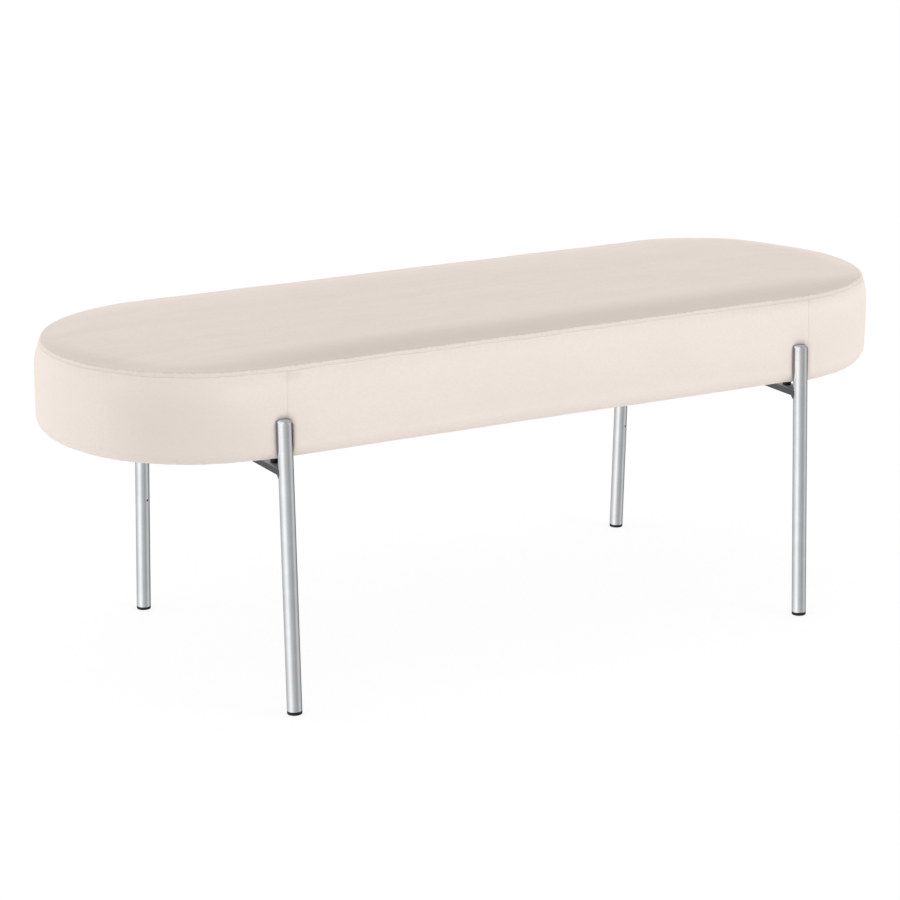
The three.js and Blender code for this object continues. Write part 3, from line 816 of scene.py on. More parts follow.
def top_velvet():
    """Velvet of the top, darker than the bands' as painted shade, with painted shade along the front
    and painted light at the back and on the rim.
    """
    deep = linear(204, 193, 184)
    # The top's tones are darker than the bands', as painted shade.
    material, tree, shader, place, pile, tufts, tone = velvet_finish(
        "velvet_top", linear(228, 217, 208), linear(219, 208, 199), 0.3)
    streak = use_group(tree, soft_patches, {
        "Scale": 12.0, "Stretch": (0.16, 1.4, 1), "Softness": 0.2})
    tone = tinted(tree, tone, linear(218, 207, 198), streak["Mask"], 0.5)
    wisps = use_group(tree, soft_patches, {
        "Scale": 30.0, "Stretch": (0.14, 1.5, 1), "Softness": 0.1})
    tone = tinted(tree, tone, linear(233, 222, 213), wisps["Mask"], 0.22)
    axes = split(tree, place)
    ragged = times(tree, less(tree, streak["Mask"], 0.5), raggedness)
    depth = plus(tree, axes["Y"], ragged)
    front = ramp(tree, depth, -0.128, -0.192)
    along = ramp(tree, axes["X"], -0.56, -0.28)
    past = above_zero(tree, less(tree, maths(tree, "ABSOLUTE", axes["X"]), half_straight / 1000))
    from_middle = plus(tree, diagonal(tree, past, axes["Y"]), ragged)
    rim = ramp(tree, from_middle, 0.176, 0.206)
    facing = ramp(tree, less(tree, times(tree, past, 0.4), depth), -0.02, 0.09)
    # Painted light: lighter along the back.
    tone = mixed(tree, ramp(tree, depth, 0.11, 0.2), tone, linear(232, 221, 212))
    # Painted shade on the rim along the front, left out round the right end.
    lit_side = ramp(tree, axes["Y"], -0.16, -0.04)
    turned = times(tree, ramp(tree, axes["X"], 0.46, 0.56), lit_side)
    darker = times(tree, times(tree, rim, facing), less(tree, 1.0, turned))
    tone = tinted(tree, tone, deep, darker, 0.5)
    # Painted light on the rim round the right end, away from the front.
    lit_end = times(tree, lit_side, ramp(tree, axes["X"], 0.4, 0.5))
    lit_rim = times(tree, ramp(tree, from_middle, 0.178, 0.2), lit_end)
    tone = tinted(tree, tone, linear(236, 225, 216), lit_rim, 0.7)
    # Painted shade in a band along the front, fading out towards the left end.
    tone = tinted(tree, tone, deep, times(tree, front, along), 0.9)
    # Painted light on the rolled edge where it turns down from the top, a little less at the right end.
    uneven_edge = times(tree, less(tree, tufts["Height"], 0.5), 0.9)
    flat = ramp(tree, plus(tree, upright_share(tree), uneven_edge), 0.3, 0.95)
    right_end = ramp(tree, axes["X"], 0.2, 0.42)
    edge_tone = mixed(tree, right_end, linear(236, 225, 216), linear(229, 218, 209))
    tone = mixed(tree, flat, edge_tone, tone)
    pile_grain(tree, shader, pile, tufts, tone, deep)
    return material


# Patches of painted light and shade on the bands: light left of the front left leg, shade beside it and
# across the left end's front, and shade at the right end's front. Each is a centre, a reach, a share
# and a colour.
light_and_shade_spots = [
    ((-0.455, -0.212, 0.424), (0.06, 0.05, 0.022), 0.7, linear(243, 232, 223)),
    ((-0.387, -0.214, 0.446), (0.022, 0.03, 0.014), 0.7, linear(224, 213, 204)),
    ((-0.55, -0.19, 0.385), (0.15, 0.11, 0.1), 0.8, linear(229, 218, 209)),
    ((-0.465, -0.215, 0.366), (0.09, 0.06, 0.05), 0.6, linear(229, 218, 209)),
    ((0.5, -0.2, 0.385), (0.15, 0.11, 0.08), 0.6, linear(233, 222, 213)),
]


def band_velvet():
    """Pale pile, with patches of painted light and shade, painted shade under the rim and round the
    legs, and a painted reflection near the legs.
    """
    deep = linear(222, 211, 202)
    material, tree, shader, place, pile, tufts, tone = velvet_finish(
        "velvet_band", linear(240, 229, 220), linear(235, 224, 215), 0.9)
    for centre, reach, amount, colour in light_and_shade_spots:
        tone = tinted(tree, tone, colour, spot_mask(tree, place, centre, reach), amount)
    axes = split(tree, place)
    # Painted shade just under the rim, stronger towards the right end.
    ragged = times(tree, less(tree, tufts["Height"], 0.5), raggedness)
    shade_below_rim = ramp(tree, plus(tree, axes["Z"], ragged), 0.436, 0.453)
    shade_below_rim = times(tree, shade_below_rim, ramp(tree, axes["X"], 0.15, 0.42, 0.25, 0.85))
    tone = mixed(tree, shade_below_rim, tone, linear(224, 213, 204))
    # Painted shade on the pile close round the legs, in dark brown.
    tone = mixed(tree, leg_shade(tree, place), tone, linear(60, 52, 46))
    pile_grain(tree, shader, pile, tufts, tone, deep)
    # Painted reflection: near the legs the pile glows, for glossy rays only, nearly white to the left
    # of each leg and dark to the right.
    mirrored_plain(tree, place, 0.09, linear(251, 251, 252), linear(46, 47, 49))
    return material


cover_gap = 2.75
panel_steps = [1.8, 2.6, 3.4, 4.2, 5, 5.8, 6.6, 7.4, 8.2, 9.2, 10.5, 12, 14, 17, 21, 26, 32, 39,
               47, 57, 70, 85, 102, 122, 145, 168, 190, 207]


def top_panel():
    travel = stations(cover_gap)
    across = np.array(edge_steps + panel_steps)
    across = np.append(across, path_length - seam_step - pile_fringe)
    steps = np.append(seam_step + pile_fringe + across[:-1], path_length)
    edge = np.repeat(across[:, None], len(travel), axis=1)
    panel = cover_piece(
        "top_panel", travel, steps[:, None] + seam_sway(travel, across), edge,
        lambda grid: (puckers(travel, across, lower=False) + uneven(grid))
        * (across < path_length - seam_step - 1)[:, None],
        True,
        top_velvet(),
    )
    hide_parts("seat_top_panel")


def hem_pleats(travel, steps):
    """Pleats that take up the spare length round the ends, from the lower corner to the hem."""
    spot, out = outline_at(travel)
    wave = np.abs(ripple(spot, 7.5, 5.5)) * 2.2 + np.abs(ripple(spot, 16.0, 8.5)) * 1.2
    curved = np.clip((np.abs(spot[:, 0]) - half_straight) / 30.0, 0, 1)
    fold = np.clip((44.0 - steps) / 18.0, 0, 1)
    return -0.9 * (wave * curved)[None, :] * fold[:, None]


seam_near = [1.8, 2.6, 3.6, 4.8, 6, 7.2, 8.4, 9.6, 10.8, 12, 13.4, 15, 17, 19.5, 22.5, 26]
rim_near = [1.9, 2.7, 3.6, 4.6, 5.8, 7.2, 9, 11, 13.5, 16.5, 20]


def bands():
    finish = band_velvet()
    near = edge_steps + seam_near
    below = np.array(edge_steps + rim_near)
    tall = seam_step - pile_fringe
    middle = np.linspace(24, tall - 6, 44)
    across = np.concatenate([below, middle, tall - np.array([3.5, 2] + edge_steps[::-1])])
    names = {"front": 0, "right_end": 1, "back": 2, "left_end": 3}
    seams = np.append(seam_places, seam_places[0] + 2 * half_lap)
    steps = tall - across
    slant = seam_slant * on_path(steps)[0][:, 0] * (steps > lower_radius * 3)
    for name, number in names.items():
        start, end = seams[number] + pile_fringe, seams[number + 1] - pile_fringe
        count = int((end - start - 56) / 3.0)
        travel = np.concatenate([start + np.array(near), np.linspace(start + 28, end - 28, count),
                                 end - np.array(near[::-1])])
        from_seam = np.minimum(travel - start, end - travel)
        edge = np.minimum(np.minimum(from_seam[None, :], across[:, None]), steps[:, None])

        def lift(grid, travel=travel, from_seam=from_seam):
            raised = puckers(travel + slant[0], across, lower=True) + uneven(grid)
            raised = raised * np.clip((steps - 20.0) / 20.0, 0, 1)[:, None]
            return raised + hem_pleats(travel, steps) + drawn_in(from_seam)[None, :]

        slanted = travel[None, :] + slant[:, None]
        swayed = steps[:, None] + seam_sway(travel + slant[0], across)
        edge = np.maximum(edge, 0)
        band = cover_piece("band_" + name, slanted, swayed, edge, lift, False, finish)
        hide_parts("seat_band_" + name)


top_panel()
bands()

# Dust cover. Pale spun-bonded cloth under the board, cut 1.5 mm inside the cover's corner, over
# the hem. It hangs a little slack between its staples.
def lining_finish():
    material, tree, shader = new_material("lining_cloth", Roughness=0.9, Specular_IOR_Level=0.3)
    fibre = use_group(tree, fine_grain, {"Scale": 700.0, "Stretch": (1, 2, 1), "Roughness": 0.7})
    worn = use_group(tree, soft_patches, {"Scale": 14.0, "Softness": 0.22})
    tone = mixed(tree, fibre["Mask"], linear(226, 224, 220), linear(208, 206, 201))
    tone = tinted(tree, tone, linear(206, 202, 195), worn["Mask"], 0.4)
    tree.links.new(tone, shader["Base Color"])
    place = here(tree)
    dots = add(tree, "TexVoronoi", {"Vector": place, "Scale": 620.0})
    bumped(tree, shader, dots.outputs["Distance"], 0.0002)
    # Painted reflection: near the crossbars the cloth glows white for glossy rays only, so the bars
    # mirror white.
    mirrored_plain(tree, place, 0.06, linear(255, 255, 255), linear(255, 255, 255))
    return material


cloth_edge = 21.5
cloth_low, cloth_thick = 336.0, 0.4
cloth_rows = [22.5, 24, 26, 29, 33, 38, 45, 55, 70, 90, 115, 140, 170, 200]
staple_gap = 37.0
staple_inset = 26.5
staple_places = np.arange(18.0, 2 * half_lap - 10, staple_gap)


def dust_cover():
    travel = stations(4.2)
    spot, out = outline_at(travel)
    insets = np.array([cloth_edge] + cloth_rows + [end_radius])
    half_gap = staple_gap / 2
    from_staple = np.mod(travel[:, None] - staple_places + half_gap, staple_gap) - half_gap
    away = np.abs(from_staple).min(1)
    free = 1 - np.exp(-((away / 9.0) ** 2))
    slack = free[None, :] * np.exp(-np.abs(insets - 27.0) / 8.0)[:, None]
    rings = []
    for row, inset in enumerate(insets):
        ring = np.concatenate([spot - out * inset, np.full((len(travel), 1), cloth_low)], 1)
        clear = np.clip((np.abs(np.abs(ring[:, 0]) - leg_x) - 16.0) / 30.0, 0, 1)
        sag = 0.45 * ripple(ring[:, :2], 60.0, 6.6) + 0.25 * ripple(ring[:, :2], 21.0, 2.2)
        middle = np.clip((inset - cloth_edge) / 30.0, 0, 1)
        ring[:, 2] -= clear * (0.35 * slack[row] + middle * np.abs(sag))
        rings.append(ring)
    low = np.array(rings)
    high = low + np.array([0, 0, cloth_thick])
    rings = np.concatenate([low[::-1], high])
    faces = ring_faces(len(rings), len(travel))
    cover = mesh_object("dust_cover_cloth", rings, faces, lining_finish())
    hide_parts("dust_cover")


dust_cover()

# Staples. Galvanised wire staples, 10 mm wide, that hold the dust cover and the hem to the board,
# one every 37 mm. They are left out of the CAD's solids.
wire_wide, wire_high = 0.6, 0.35
half_width, prong, wire_bend = 5.0, 1.5, 0.3
staple_low = 335.45
staple_clear = 14.0


def staples():
    points, faces = [], []
    bend = [(-half_width, prong), (-half_width, wire_bend), (wire_bend - half_width, 0)]
    bend += [(-u, w) for u, w in bend[::-1]]
    section = [(wire_wide * math.cos(a), wire_high * math.sin(a)) for a in even(0, 2 * math.pi, 8)]
    for number, travel in enumerate(staple_places):
        spot, out = outline_at([travel])
        along = np.array([-out[0, 1], out[0, 0]])
        tilt = 0.09 * noise.noise(Vector((number * 3.7, 0.5, 0.5)))
        along = along * math.cos(tilt) + out[0] * math.sin(tilt)
        across = np.array([-along[1], along[0]])
        middle = spot[0] - out[0] * (staple_inset + 0.8 * noise.noise(Vector((number * 2.3, 4.5, 0.5))))
        if np.abs(np.abs(middle[0]) - leg_x) < staple_clear:
            continue
        first = len(points)
        for k, (u, w) in enumerate(bend):
            upright = k in (0, 5)
            corner = k in (1, 2, 3, 4)
            for p, q in section:
                lean = q if upright else 0.7 * q if corner else 0.0
                side = -lean if k < 3 else lean
                drop = 0.0 if upright else q if k in (2, 3) else 0.7 * q
                place = middle + along * (u + side) + across * p
                points.append((place[0], place[1], staple_low + w + drop))
        for k in range(len(bend) - 1):
            a, b = first + 8 * k, first + 8 * (k + 1)
            faces += [(a + i, a + (i + 1) % 8, b + (i + 1) % 8, b + i) for i in range(8)]
        faces.append(tuple(range(first, first + 8)))
        faces.append(tuple(range(first + 8 * 5, first + 8 * 6)))
    mesh_object("dust_cover_staples", points, faces, zinc_plate)


staples()

# Legs. Round steel tube, 20 mm across with a 1.5 mm wall, polished and chromed. Each leans out to
# the front or the back, and has a drain hole for the plating bath on its inner side.
lean = math.atan2(leg_foot_y - leg_top_y, leg_top)
leg_length = leg_top / math.cos(lean)
bore = 8.5
tube_bevel = 0.35
cap_height, glide_height = 7.0, 4.0
joint_line = 0.03
hole_height = 165.0 / math.cos(lean)
hole_turn = math.radians(20)
hole_radius = 1.5


def chrome_finish(name, tone, rough, lit_top_tone=None):
    """Chrome: bright, with faint cloudy polishing marks and a fine lengthwise brush; a second tone,
    when given, is painted light on upward faces.
    """
    material, tree, shader = new_material(name, Metallic=1.0)
    cloud = use_group(tree, soft_patches, {"Scale": 40.0, "Softness": 0.25})
    lines = use_group(tree, fine_grain, {"Scale": 900.0, "Stretch": (1, 1, 0.02), "Roughness": 0.5})
    shade = [value * 0.93 for value in tone[:3]] + [1.0]
    marked = mixed(tree, cloud["Mask"], tone, shade)
    if lit_top_tone is not None:
        # Painted light: upward faces take the lighter tone.
        marked = mixed(tree, ramp(tree, upright_share(tree), 0.3, 0.9), marked, lit_top_tone)
    tree.links.new(marked, shader["Base Color"])
    clouded = ramp(tree, cloud["Mask"], 0, 1, rough, rough + 0.03)
    tree.links.new(plus(tree, clouded, times(tree, lines["Height"], 0.06)), shader["Roughness"])
    bumped(tree, shader, lines["Height"], 0.000004)
    return material


chrome = chrome_finish("polished_chrome", linear(244, 245, 247), 0.05)


def lathe_mesh(profile, sides, closed=False):
    """A mesh of a [radius, height] profile turned round the Z axis."""
    angles = even(0, 2 * math.pi, sides)
    rings = [[(r * math.cos(a), r * math.sin(a), z) for a in angles] for r, z in profile]
    faces = ring_faces(len(profile), sides)
    if closed:
        faces += joining_faces((len(profile) - 1) * sides, 0, sides)
    return cleaned(new_mesh("turned", rings, faces), join=1e-7)


def rounding(centre, height, radius, upward, steps):
    """A quarter circle of a profile, from level with its centre to straight above or below it."""
    return [(centre + radius * math.cos(a), height + upward * radius * math.sin(a))
            for a in np.linspace(0, math.pi / 2, steps)]


def leg_frame(side_x, side_y):
    """Where a leg's own frame stands: its axis is Z and its origin is on the floor."""
    spot = Matrix.Translation((side_x * leg_x / 1000, side_y * leg_foot_y / 1000, 0))
    return spot @ Matrix.Rotation(side_y * lean, 4, "X")


def cut_away(mesh, *cutters):
    """A mesh less each of the cutting meshes."""
    body = placed("body", mesh)
    for cutter in cutters:
        cut = body.modifiers.new("cut", "BOOLEAN")
        cut.operation = "DIFFERENCE"
        cut.solver = "EXACT"
        cut.object = placed("tool", cutter)
    graph = bpy.context.evaluated_depsgraph_get()
    made = bpy.data.meshes.new_from_object(body.evaluated_get(graph))
    for cut in list(body.modifiers):
        bpy.data.objects.remove(cut.object)
    bpy.data.objects.remove(body)
    return made


def leg_tube(corner, side_x, side_y):
    bottom, top = glide_height + 0.1, leg_length - cap_height - 0.04
    near_hole = [hole_height + z for z in (-5, -2.2, 2.2, 5)]
    heights = [bottom + tube_bevel] + near_hole + [top - joint_line]
    outer = [(leg_radius - tube_bevel, bottom)] + [(leg_radius, z) for z in heights]
    outer += [(leg_radius - joint_line, top)]
    inner = [(bore, z) for z in [top] + near_hole[::-1] + [bottom]]
    tube = lathe_mesh(outer + inner, 72, closed=True)
    drill = lathe_mesh([(0, -6.0), (hole_radius, -6.0), (hole_radius, 6.0), (0, 6.0)], 24)
    drill.transform(Matrix.Rotation(side_y * hole_turn, 4, "Z")
                    @ Matrix.Translation((0, -side_y * leg_radius / 1000, hole_height / 1000))
                    @ Matrix.Rotation(math.pi / 2, 4, "X"))
    tube = cut_away(tube, drill)
    tube.transform(leg_frame(side_x, side_y))
    made = dress(tube, "tube_" + corner, chrome)
    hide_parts("leg_" + corner)


for corner, (side_x, side_y) in corners.items():
    leg_tube(corner, side_x, side_y)

# Leg caps. Turned steel plugs, chromed with the legs: a flat top with a rounded edge of 4.5 mm
# radius, and a spigot inside the tube. They close the legs' top ends, beside the seat.
cap_round = 4.5
spigot_length, spigot_bevel = 9.0, 0.4
plug_clear = 0.3


def leg_cap(corner, side_x, side_y):
    shoulder, spigot = leg_length - cap_height, bore - plug_clear
    spigot_end = shoulder - spigot_length
    profile = [(0, spigot_end), (spigot - spigot_bevel, spigot_end),
               (spigot, spigot_end + spigot_bevel), (spigot, shoulder),
               (leg_radius - joint_line, shoulder), (leg_radius, shoulder + joint_line)]
    profile += rounding(leg_radius - cap_round, leg_length - cap_round, cap_round, 1, 12)
    profile += [(2.0, leg_length), (0, leg_length)]
    cap = lathe_mesh(profile, 72)
    cap.transform(leg_frame(side_x, side_y))
    made = dress(cap, "cap_" + corner, chrome)
    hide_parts("leg_cap_" + corner)


for corner, (side_x, side_y) in corners.items():
    leg_cap(corner, side_x, side_y)

# Foot glides. Moulded black polyethylene plugs, pushed into the tubes' lower ends. The visible
# collar is as wide as the tube and 4 mm high, with a level foot that is scuffed by the floor.
foot_round = 1.5
collar_bevel = 0.3
plug_top = 19.0


def black_plastic_finish():
    material, tree, shader = new_material("black_plastic", Specular_IOR_Level=0.35)
    grain = use_group(tree, fine_grain, {"Scale": 1500.0, "Roughness": 0.6})
    scuffs = use_group(tree, soft_patches, {
        "Scale": 160.0, "Stretch": (1, 1, 0.4), "Softness": 0.12})
    low = ramp(tree, split(tree, here(tree))["Z"], 0.0025, 0.0)
    worn = times(tree, low, scuffs["Mask"])
    tone = mixed(tree, grain["Mask"], linear(14, 14, 15), linear(22, 22, 23))
    tone = tinted(tree, tone, linear(70, 69, 68), worn, 0.6)
    tree.links.new(tone, shader["Base Color"])
    tree.links.new(ramp(tree, grain["Height"], 0.3, 0.7, 0.38, 0.5), shader["Roughness"])
    bumped(tree, shader, grain["Height"], 0.00004)
    return material


black_plastic = black_plastic_finish()


def foot_glide(corner, side_x, side_y):
    slant, plug = leg_radius * math.tan(lean), bore - plug_clear
    edge = rounding(leg_radius - foot_round, foot_round - slant, foot_round, -1, 7)[::-1]
    profile = [(0, -slant), (5.0, -slant)] + edge
    profile += [(leg_radius, glide_height - collar_bevel),
                (leg_radius - collar_bevel, glide_height), (plug, glide_height),
                (plug, plug_top - 1), (plug - 1, plug_top), (0, plug_top)]
    glide = lathe_mesh(profile, 72)
    glide.transform(leg_frame(side_x, side_y))
    for vertex in glide.vertices:
        vertex.co.z = max(vertex.co.z, 0.0)
    made = dress(glide, "glide_" + corner, black_plastic)
    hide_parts("foot_glide_" + corner)


for corner, (side_x, side_y) in corners.items():
    foot_glide(corner, side_x, side_y)

# Crossbars. Flat steel tube, 20 by 10 mm, from a front leg to a back leg under the seat. Its ends
# are shaped to the round legs, and it is bored for two bolts, with a wide hole below for each head.
# It is plated with the legs, but wasn't polished, so it stays dull. It is darker in tone than the legs,
# and lighter on its upward faces as painted light.
bar_middle = 322.0
bar_wide, bar_tall, bar_wall, bar_corner = 20.0, 10.0, 1.5, 2.0
bolt_y = 195.0
bolt_hole, key_hole = 3.5, 6.5
# A darker tone, and a lighter one on upward faces as painted light.
bar_chrome = chrome_finish("bar_chrome", linear(114, 115, 118), 0.6, linear(152, 153, 156))


def bar_section(width, height, radius, steps=6):
    """A rounded rectangle as (across, up), counted round from its right side."""
    points = []
    for k, (sx, sz) in enumerate(((1, 1), (-1, 1), (-1, -1), (1, -1))):
        for a in np.linspace(0, math.pi / 2, steps):
            turn = a + k * math.pi / 2
            points.append((sx * (width / 2 - radius) + radius * math.cos(turn),
                           sz * (height / 2 - radius) + radius * math.sin(turn)))
    return np.array(points)


def bar_end(across, height, clear):
    """How far a bar's end stands from the middle line, where it meets the leg's round side."""
    reach = leg_radius + clear
    return leg_y(height) - np.sqrt(np.maximum(reach ** 2 - across ** 2, 0))


def crossbar(name, x):
    outer = bar_section(bar_wide, bar_tall, bar_corner)
    inner = bar_section(bar_wide - 2 * bar_wall, bar_tall - 2 * bar_wall, 0.6)
    count = len(outer)
    stops = [bolt_y + 9, bolt_y - 9, 60]
    places = [-1.0] + [-y for y in stops] + stops[::-1] + [1.0]
    rings = []
    for section in (outer, inner):
        for place in places:
            ring = []
            for u, w in section:
                height = bar_middle + w
                y = place * bar_end(u, height, 0.1) if abs(place) == 1 else place
                ring.append((x + u, y, height))
            rings.append(ring)
    rows = len(places)
    faces = ring_faces(rows, count) + ring_faces(rows, count, rows * count)
    for first, second in ((0, rows), (rows - 1, 2 * rows - 1)):
        faces += joining_faces(first * count, second * count, count)
    mesh = cleaned(new_mesh(name, rings, faces), join=1e-7)
    drills = []
    for side in (-1, 1):
        for radius, end in ((bolt_hole, 20), (key_hole, -20)):
            drill = lathe_mesh([(0, 0), (radius, 0), (radius, end), (0, end)], 40)
            drill.transform(Matrix.Translation((x / 1000, side * bolt_y / 1000, bar_middle / 1000)))
            drills.append(drill)
    made = dress(cut_away(mesh, *drills), name, bar_chrome)
    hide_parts(name.replace("bar_", "crossbar_"))


crossbar("bar_left", -leg_x)
crossbar("bar_right", leg_x)

# Weld beads. A fillet of weld round each end of a crossbar, laid in short overlapping ripples and
# then plated over: 4 mm above and below the bar, thin along its sides.
weld_clear = 0.1
weld_thin, weld_swell = 1.3, 2.6
ripple_high, ripple_long = 0.12, 1.6
toe_limit = 9.9


def round_loop(dense, keys, values):
    """Points spread evenly along a closed loop of (across, up) values."""
    return np.stack([np.interp(dense, keys, np.append(values[-1, k], values[:, k]))
                     for k in (0, 1)], 1)


def weld_bead(corner, side_x, side_y):
    section = bar_section(bar_wide + 2 * weld_clear, bar_tall + 2 * weld_clear,
                          bar_corner + weld_clear, 12)
    tangent = np.roll(section, -1, 0) - np.roll(section, 1, 0)
    length = np.linalg.norm(tangent, axis=1, keepdims=True)
    outward = np.stack([tangent[:, 1], -tangent[:, 0]], 1) / length
    travelled = np.cumsum(length[:, 0] / 2)
    dense = even(0, travelled[-1], 96)
    keys = np.concatenate([[0], travelled])
    loop = round_loop(dense, keys, section)
    away = round_loop(dense, keys, outward)
    away /= np.linalg.norm(away, axis=1, keepdims=True)
    points = []
    for (u, w), (ou, ow), s in zip(loop, away, dense):
        size = weld_thin + weld_swell * ow ** 2
        size += ripple_high * math.sin(s * 2 * math.pi / ripple_long)
        toe_u = float(np.clip(u + ou * size, -toe_limit, toe_limit))
        toe_w = w + ow * size
        root = (u, bar_end(np.array(u), bar_middle + w, 0.05), w)
        on_bar = (u + 0.05 * ou, root[1] - size, w + 0.05 * ow)
        on_leg = (toe_u, bar_end(np.array(toe_u), bar_middle + toe_w, 0.05), toe_w)
        ring = [root]
        for t in np.linspace(0, 1, 6):
            full = 0.16 * size * math.sin(math.pi * t)
            blend = [on_bar[k] * (1 - t) + on_leg[k] * t for k in range(3)]
            blend[0] += ou * full
            blend[1] -= full
            blend[2] += ow * full
            ring.append(tuple(blend))
        points += [(side_x * leg_x + p[0], side_y * p[1], bar_middle + p[2]) for p in ring]
    count = len(ring)
    faces = ring_faces(len(loop), count) + joining_faces((len(loop) - 1) * count, 0, count)
    made = mesh_object("weld_" + corner, points, faces, bar_chrome)
    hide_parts("weld_bead_" + corner)


for corner, (side_x, side_y) in corners.items():
    weld_bead(corner, side_x, side_y)

# Spacers, bolts and washers. Black plastic sleeves hold the seat 9 mm off the crossbars.
# Button-head M6 bolts with a hexagon socket come up from below, with their heads and plain washers
# inside the bar.
spacer_low, spacer_high, spacer_bevel = 327.3, 335.7, 0.5
washer_low, washer_high, washer_bevel = 323.6, 325.2, 0.3
ring_bore, ring_radius = 3.5, 6.0
head_low, head_high = 320.0, 323.3
head_radius, dome_radius = 5.25, 2.64
socket_radius, socket_depth = 2.31, 2.0
shank_radius, bolt_end, bolt_bevel = 3.0, 351.8, 0.6


def turned_piece(name, node, profile, corner, material, socket=None):
    side_x, side_y = corners[corner]
    mesh = lathe_mesh(profile, 48, closed=profile[0][0] > 0)
    if socket is not None:
        mesh = cut_away(mesh, socket)
    mesh.transform(Matrix.Translation((side_x * leg_x / 1000, side_y * bolt_y / 1000, 0)))
    made = dress(mesh, name + corner, material)
    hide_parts(node + corner)


def ring_profile(low, high, bevel):
    """A plain ring's section, counted round from its bore."""
    return [(ring_bore, low), (ring_radius - bevel, low), (ring_radius, low + bevel),
            (ring_radius, high - bevel), (ring_radius - bevel, high), (ring_bore, high)]


for corner in corners:
    turned_piece("spacer_", "seat_spacer_", ring_profile(spacer_low, spacer_high, spacer_bevel),
                 corner, black_plastic)
    turned_piece("washer_", "bolt_washer_", ring_profile(washer_low, washer_high, washer_bevel),
                 corner, zinc_plate)
    key = lathe_mesh([(0, head_low - 2), (socket_radius, head_low - 2),
                      (socket_radius, head_low + socket_depth), (0, head_low + socket_depth)], 6)
    dome = [(head_radius - dome_radius + dome_radius * math.cos(a),
             head_low + dome_radius - dome_radius * math.sin(a))
            for a in np.linspace(math.pi / 2, 0, 9)]
    turned_piece("bolt_", "seat_bolt_", [
        (0, head_low), *dome, (head_radius, head_high - 0.2), (head_radius - 0.2, head_high),
        (shank_radius, head_high), (shank_radius, bolt_end - bolt_bevel),
        (shank_radius - bolt_bevel, bolt_end), (0, bolt_end),
    ], corner, zinc_plate, socket=key)

# Floor, light and surround. A white floor that keeps a soft shadow, even white light from all
# round, a large soft lamp at the front right and a small one at the back left, and a ring of grey
# cards for the chrome to mirror. The background is white for the camera and for the metal.
floor_reach, floor_drop = 12.0, 0.0003
floor_tone, floor_glow, floor_share = 0.9, 1.04, 0.82


def stage_sheet(name, points, faces):
    """A plain mesh of the set, in metres."""
    mesh = bpy.data.meshes.new(name)
    mesh.from_pydata(points, [], faces)
    made = placed(name, mesh)
    return made


def bare_material(name):
    """A material without any nodes yet, and its tree."""
    material = bpy.data.materials.new(name)
    material.use_nodes = True
    material.node_tree.nodes.clear()
    return material, material.node_tree


corner_points = [(x * floor_reach, y * floor_reach, -floor_drop)
                 for x, y in ((-1, -1), (1, -1), (1, 1), (-1, 1))]
floor = stage_sheet("white_floor", corner_points, [(0, 1, 2, 3)])
floor.visible_glossy = False
paper, tree = bare_material("white_paper")
rays = add(tree, "LightPath").outputs
white = (1, 1, 1, 1)
plain = add(tree, "BsdfDiffuse", {"Color": (floor_tone, floor_tone, floor_tone, 1)}).outputs[0]
bright = add(tree, "Emission", {"Color": white, "Strength": floor_glow}).outputs[0]
share = times(tree, rays["Is Camera Ray"], floor_share)
face = add(tree, "MixShader", {0: share, 1: plain, 2: bright}).outputs[0]
clear = add(tree, "BsdfTransparent").outputs[0]
behind = add(tree, "NewGeometry").outputs["Backfacing"]
surface = add(tree, "MixShader", {0: behind, 1: face, 2: clear}).outputs[0]
add(tree, "OutputMaterial", {"Surface": surface})
floor.data.materials.append(paper)

card_angles = even(0, 2 * math.pi, 72)
card_rings = [(8.0, -7.0), (8.0, 7.0), (0.1, 10.0)]
card_points = [(r * math.cos(a), r * math.sin(a), z) for r, z in card_rings for a in card_angles]
cards = stage_sheet("grey_cards", card_points, ring_faces(len(card_rings), len(card_angles)))
for kind in ("camera", "diffuse", "transmission", "volume_scatter", "shadow"):
    setattr(cards, "visible_" + kind, False)
card, tree = bare_material("grey_card")
way = split(tree, here(tree))
turn = maths(tree, "DIVIDE", maths(tree, "ARCTAN2", way["Y"], way["X"]), 2 * math.pi)
strips = add(tree, "ValToRGB", {"Fac": maths(tree, "FRACT", turn)})
strip_tones = [(0, 160), (8, 140), (27, 115), (60, 112), (72, 158), (96, 172), (126, 192),
               (150, 208), (168, 232), (184, 247), (200, 252), (215, 231), (230, 202), (243, 182),
               (258, 174), (272, 164), (287, 156), (304, 168), (321, 199), (342, 185), (360, 160)]
marks = strips.color_ramp.elements
for number, (angle, grey) in enumerate(strip_tones):
    mark = marks[number] if number < 2 else marks.new(angle / 360)
    mark.position = angle / 360
    mark.color = linear(grey, grey, grey)
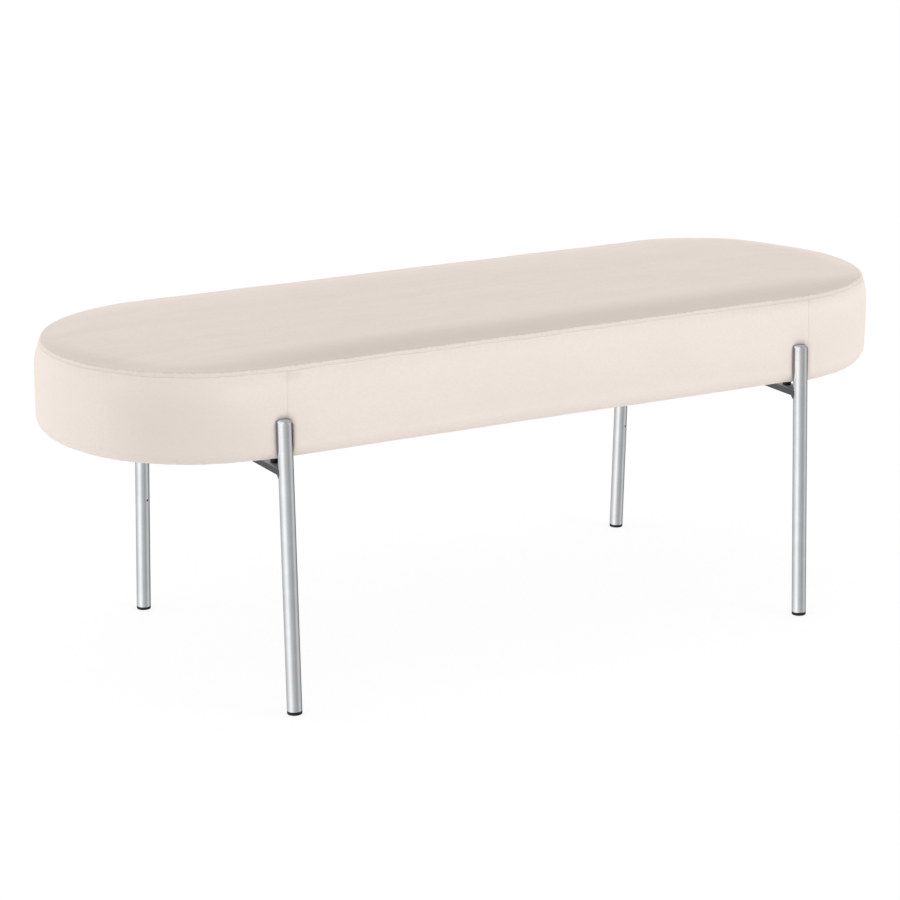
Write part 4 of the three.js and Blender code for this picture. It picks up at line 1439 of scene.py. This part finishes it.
shine = add(tree, "Emission", {"Color": strips.outputs["Color"], "Strength": 1.1}).outputs[0]
add(tree, "OutputMaterial", {"Surface": shine})
cards.data.materials.append(card)

world = bpy.data.worlds.new("white_surround")
bpy.context.scene.world = world
world.use_nodes = True
tree = world.node_tree
tree.nodes.clear()
rays = add(tree, "LightPath").outputs
around = add(tree, "Background", {"Color": white, "Strength": 0.92}).outputs[0]
seen = add(tree, "Background", {"Color": white, "Strength": 1.0}).outputs[0]
direct = maths(tree, "MAXIMUM", rays["Is Camera Ray"], rays["Is Glossy Ray"])
direct = maths(tree, "MAXIMUM", direct, rays["Is Transmission Ray"])
surface = add(tree, "MixShader", {0: direct, 1: around, 2: seen}).outputs[0]
add(tree, "OutputWorld", {"Surface": surface})

lamps = [("front_lamp", 2.6, 58, (3.6, -4.6, 2.4)), ("left_lamp", 1.4, 15, (-2.8, 1.9, 0.7))]
for name, size, watts, place in lamps:
    light = bpy.data.lights.new(name, "AREA")
    light.shape = "SQUARE"
    light.size = size
    light.energy = watts
    lamp = placed(name, light)
    lamp.location = place
    lamp.rotation_mode = "QUATERNION"
    lamp.rotation_quaternion = (Vector((0, 0, 0.35)) - lamp.location).to_track_quat("-Z", "Y")
    lamp.visible_glossy = False

# Camera. It stands in front and to the left, a little above the seat, with a long lens. Its place
# comes from the feet, the leg edges and the seat's outline in the photograph.
yaw, pitch = math.radians(29.465), math.radians(15.906)
away, target = 4.1292, Vector((-0.0332, 0, 0.2432))
film_width, picture_width, focal_pixels = 36.0, 900, 2953.5
level = Vector((math.sin(yaw), math.cos(yaw), 0))
forward = level * math.cos(pitch) - Vector((0, 0, math.sin(pitch)))
right = Vector((math.cos(yaw), -math.sin(yaw), 0))
upward = right.cross(forward)
lens = bpy.data.cameras.new("camera")
lens.sensor_width = film_width
lens.lens = focal_pixels / picture_width * film_width
camera = placed("camera", lens)
camera.matrix_world = Matrix.Translation(target - forward * away) @ Matrix(
    (right, upward, -forward)).transposed().to_4x4()
bpy.context.scene.camera = camera
bpy.context.scene.view_settings.view_transform = "Standard"
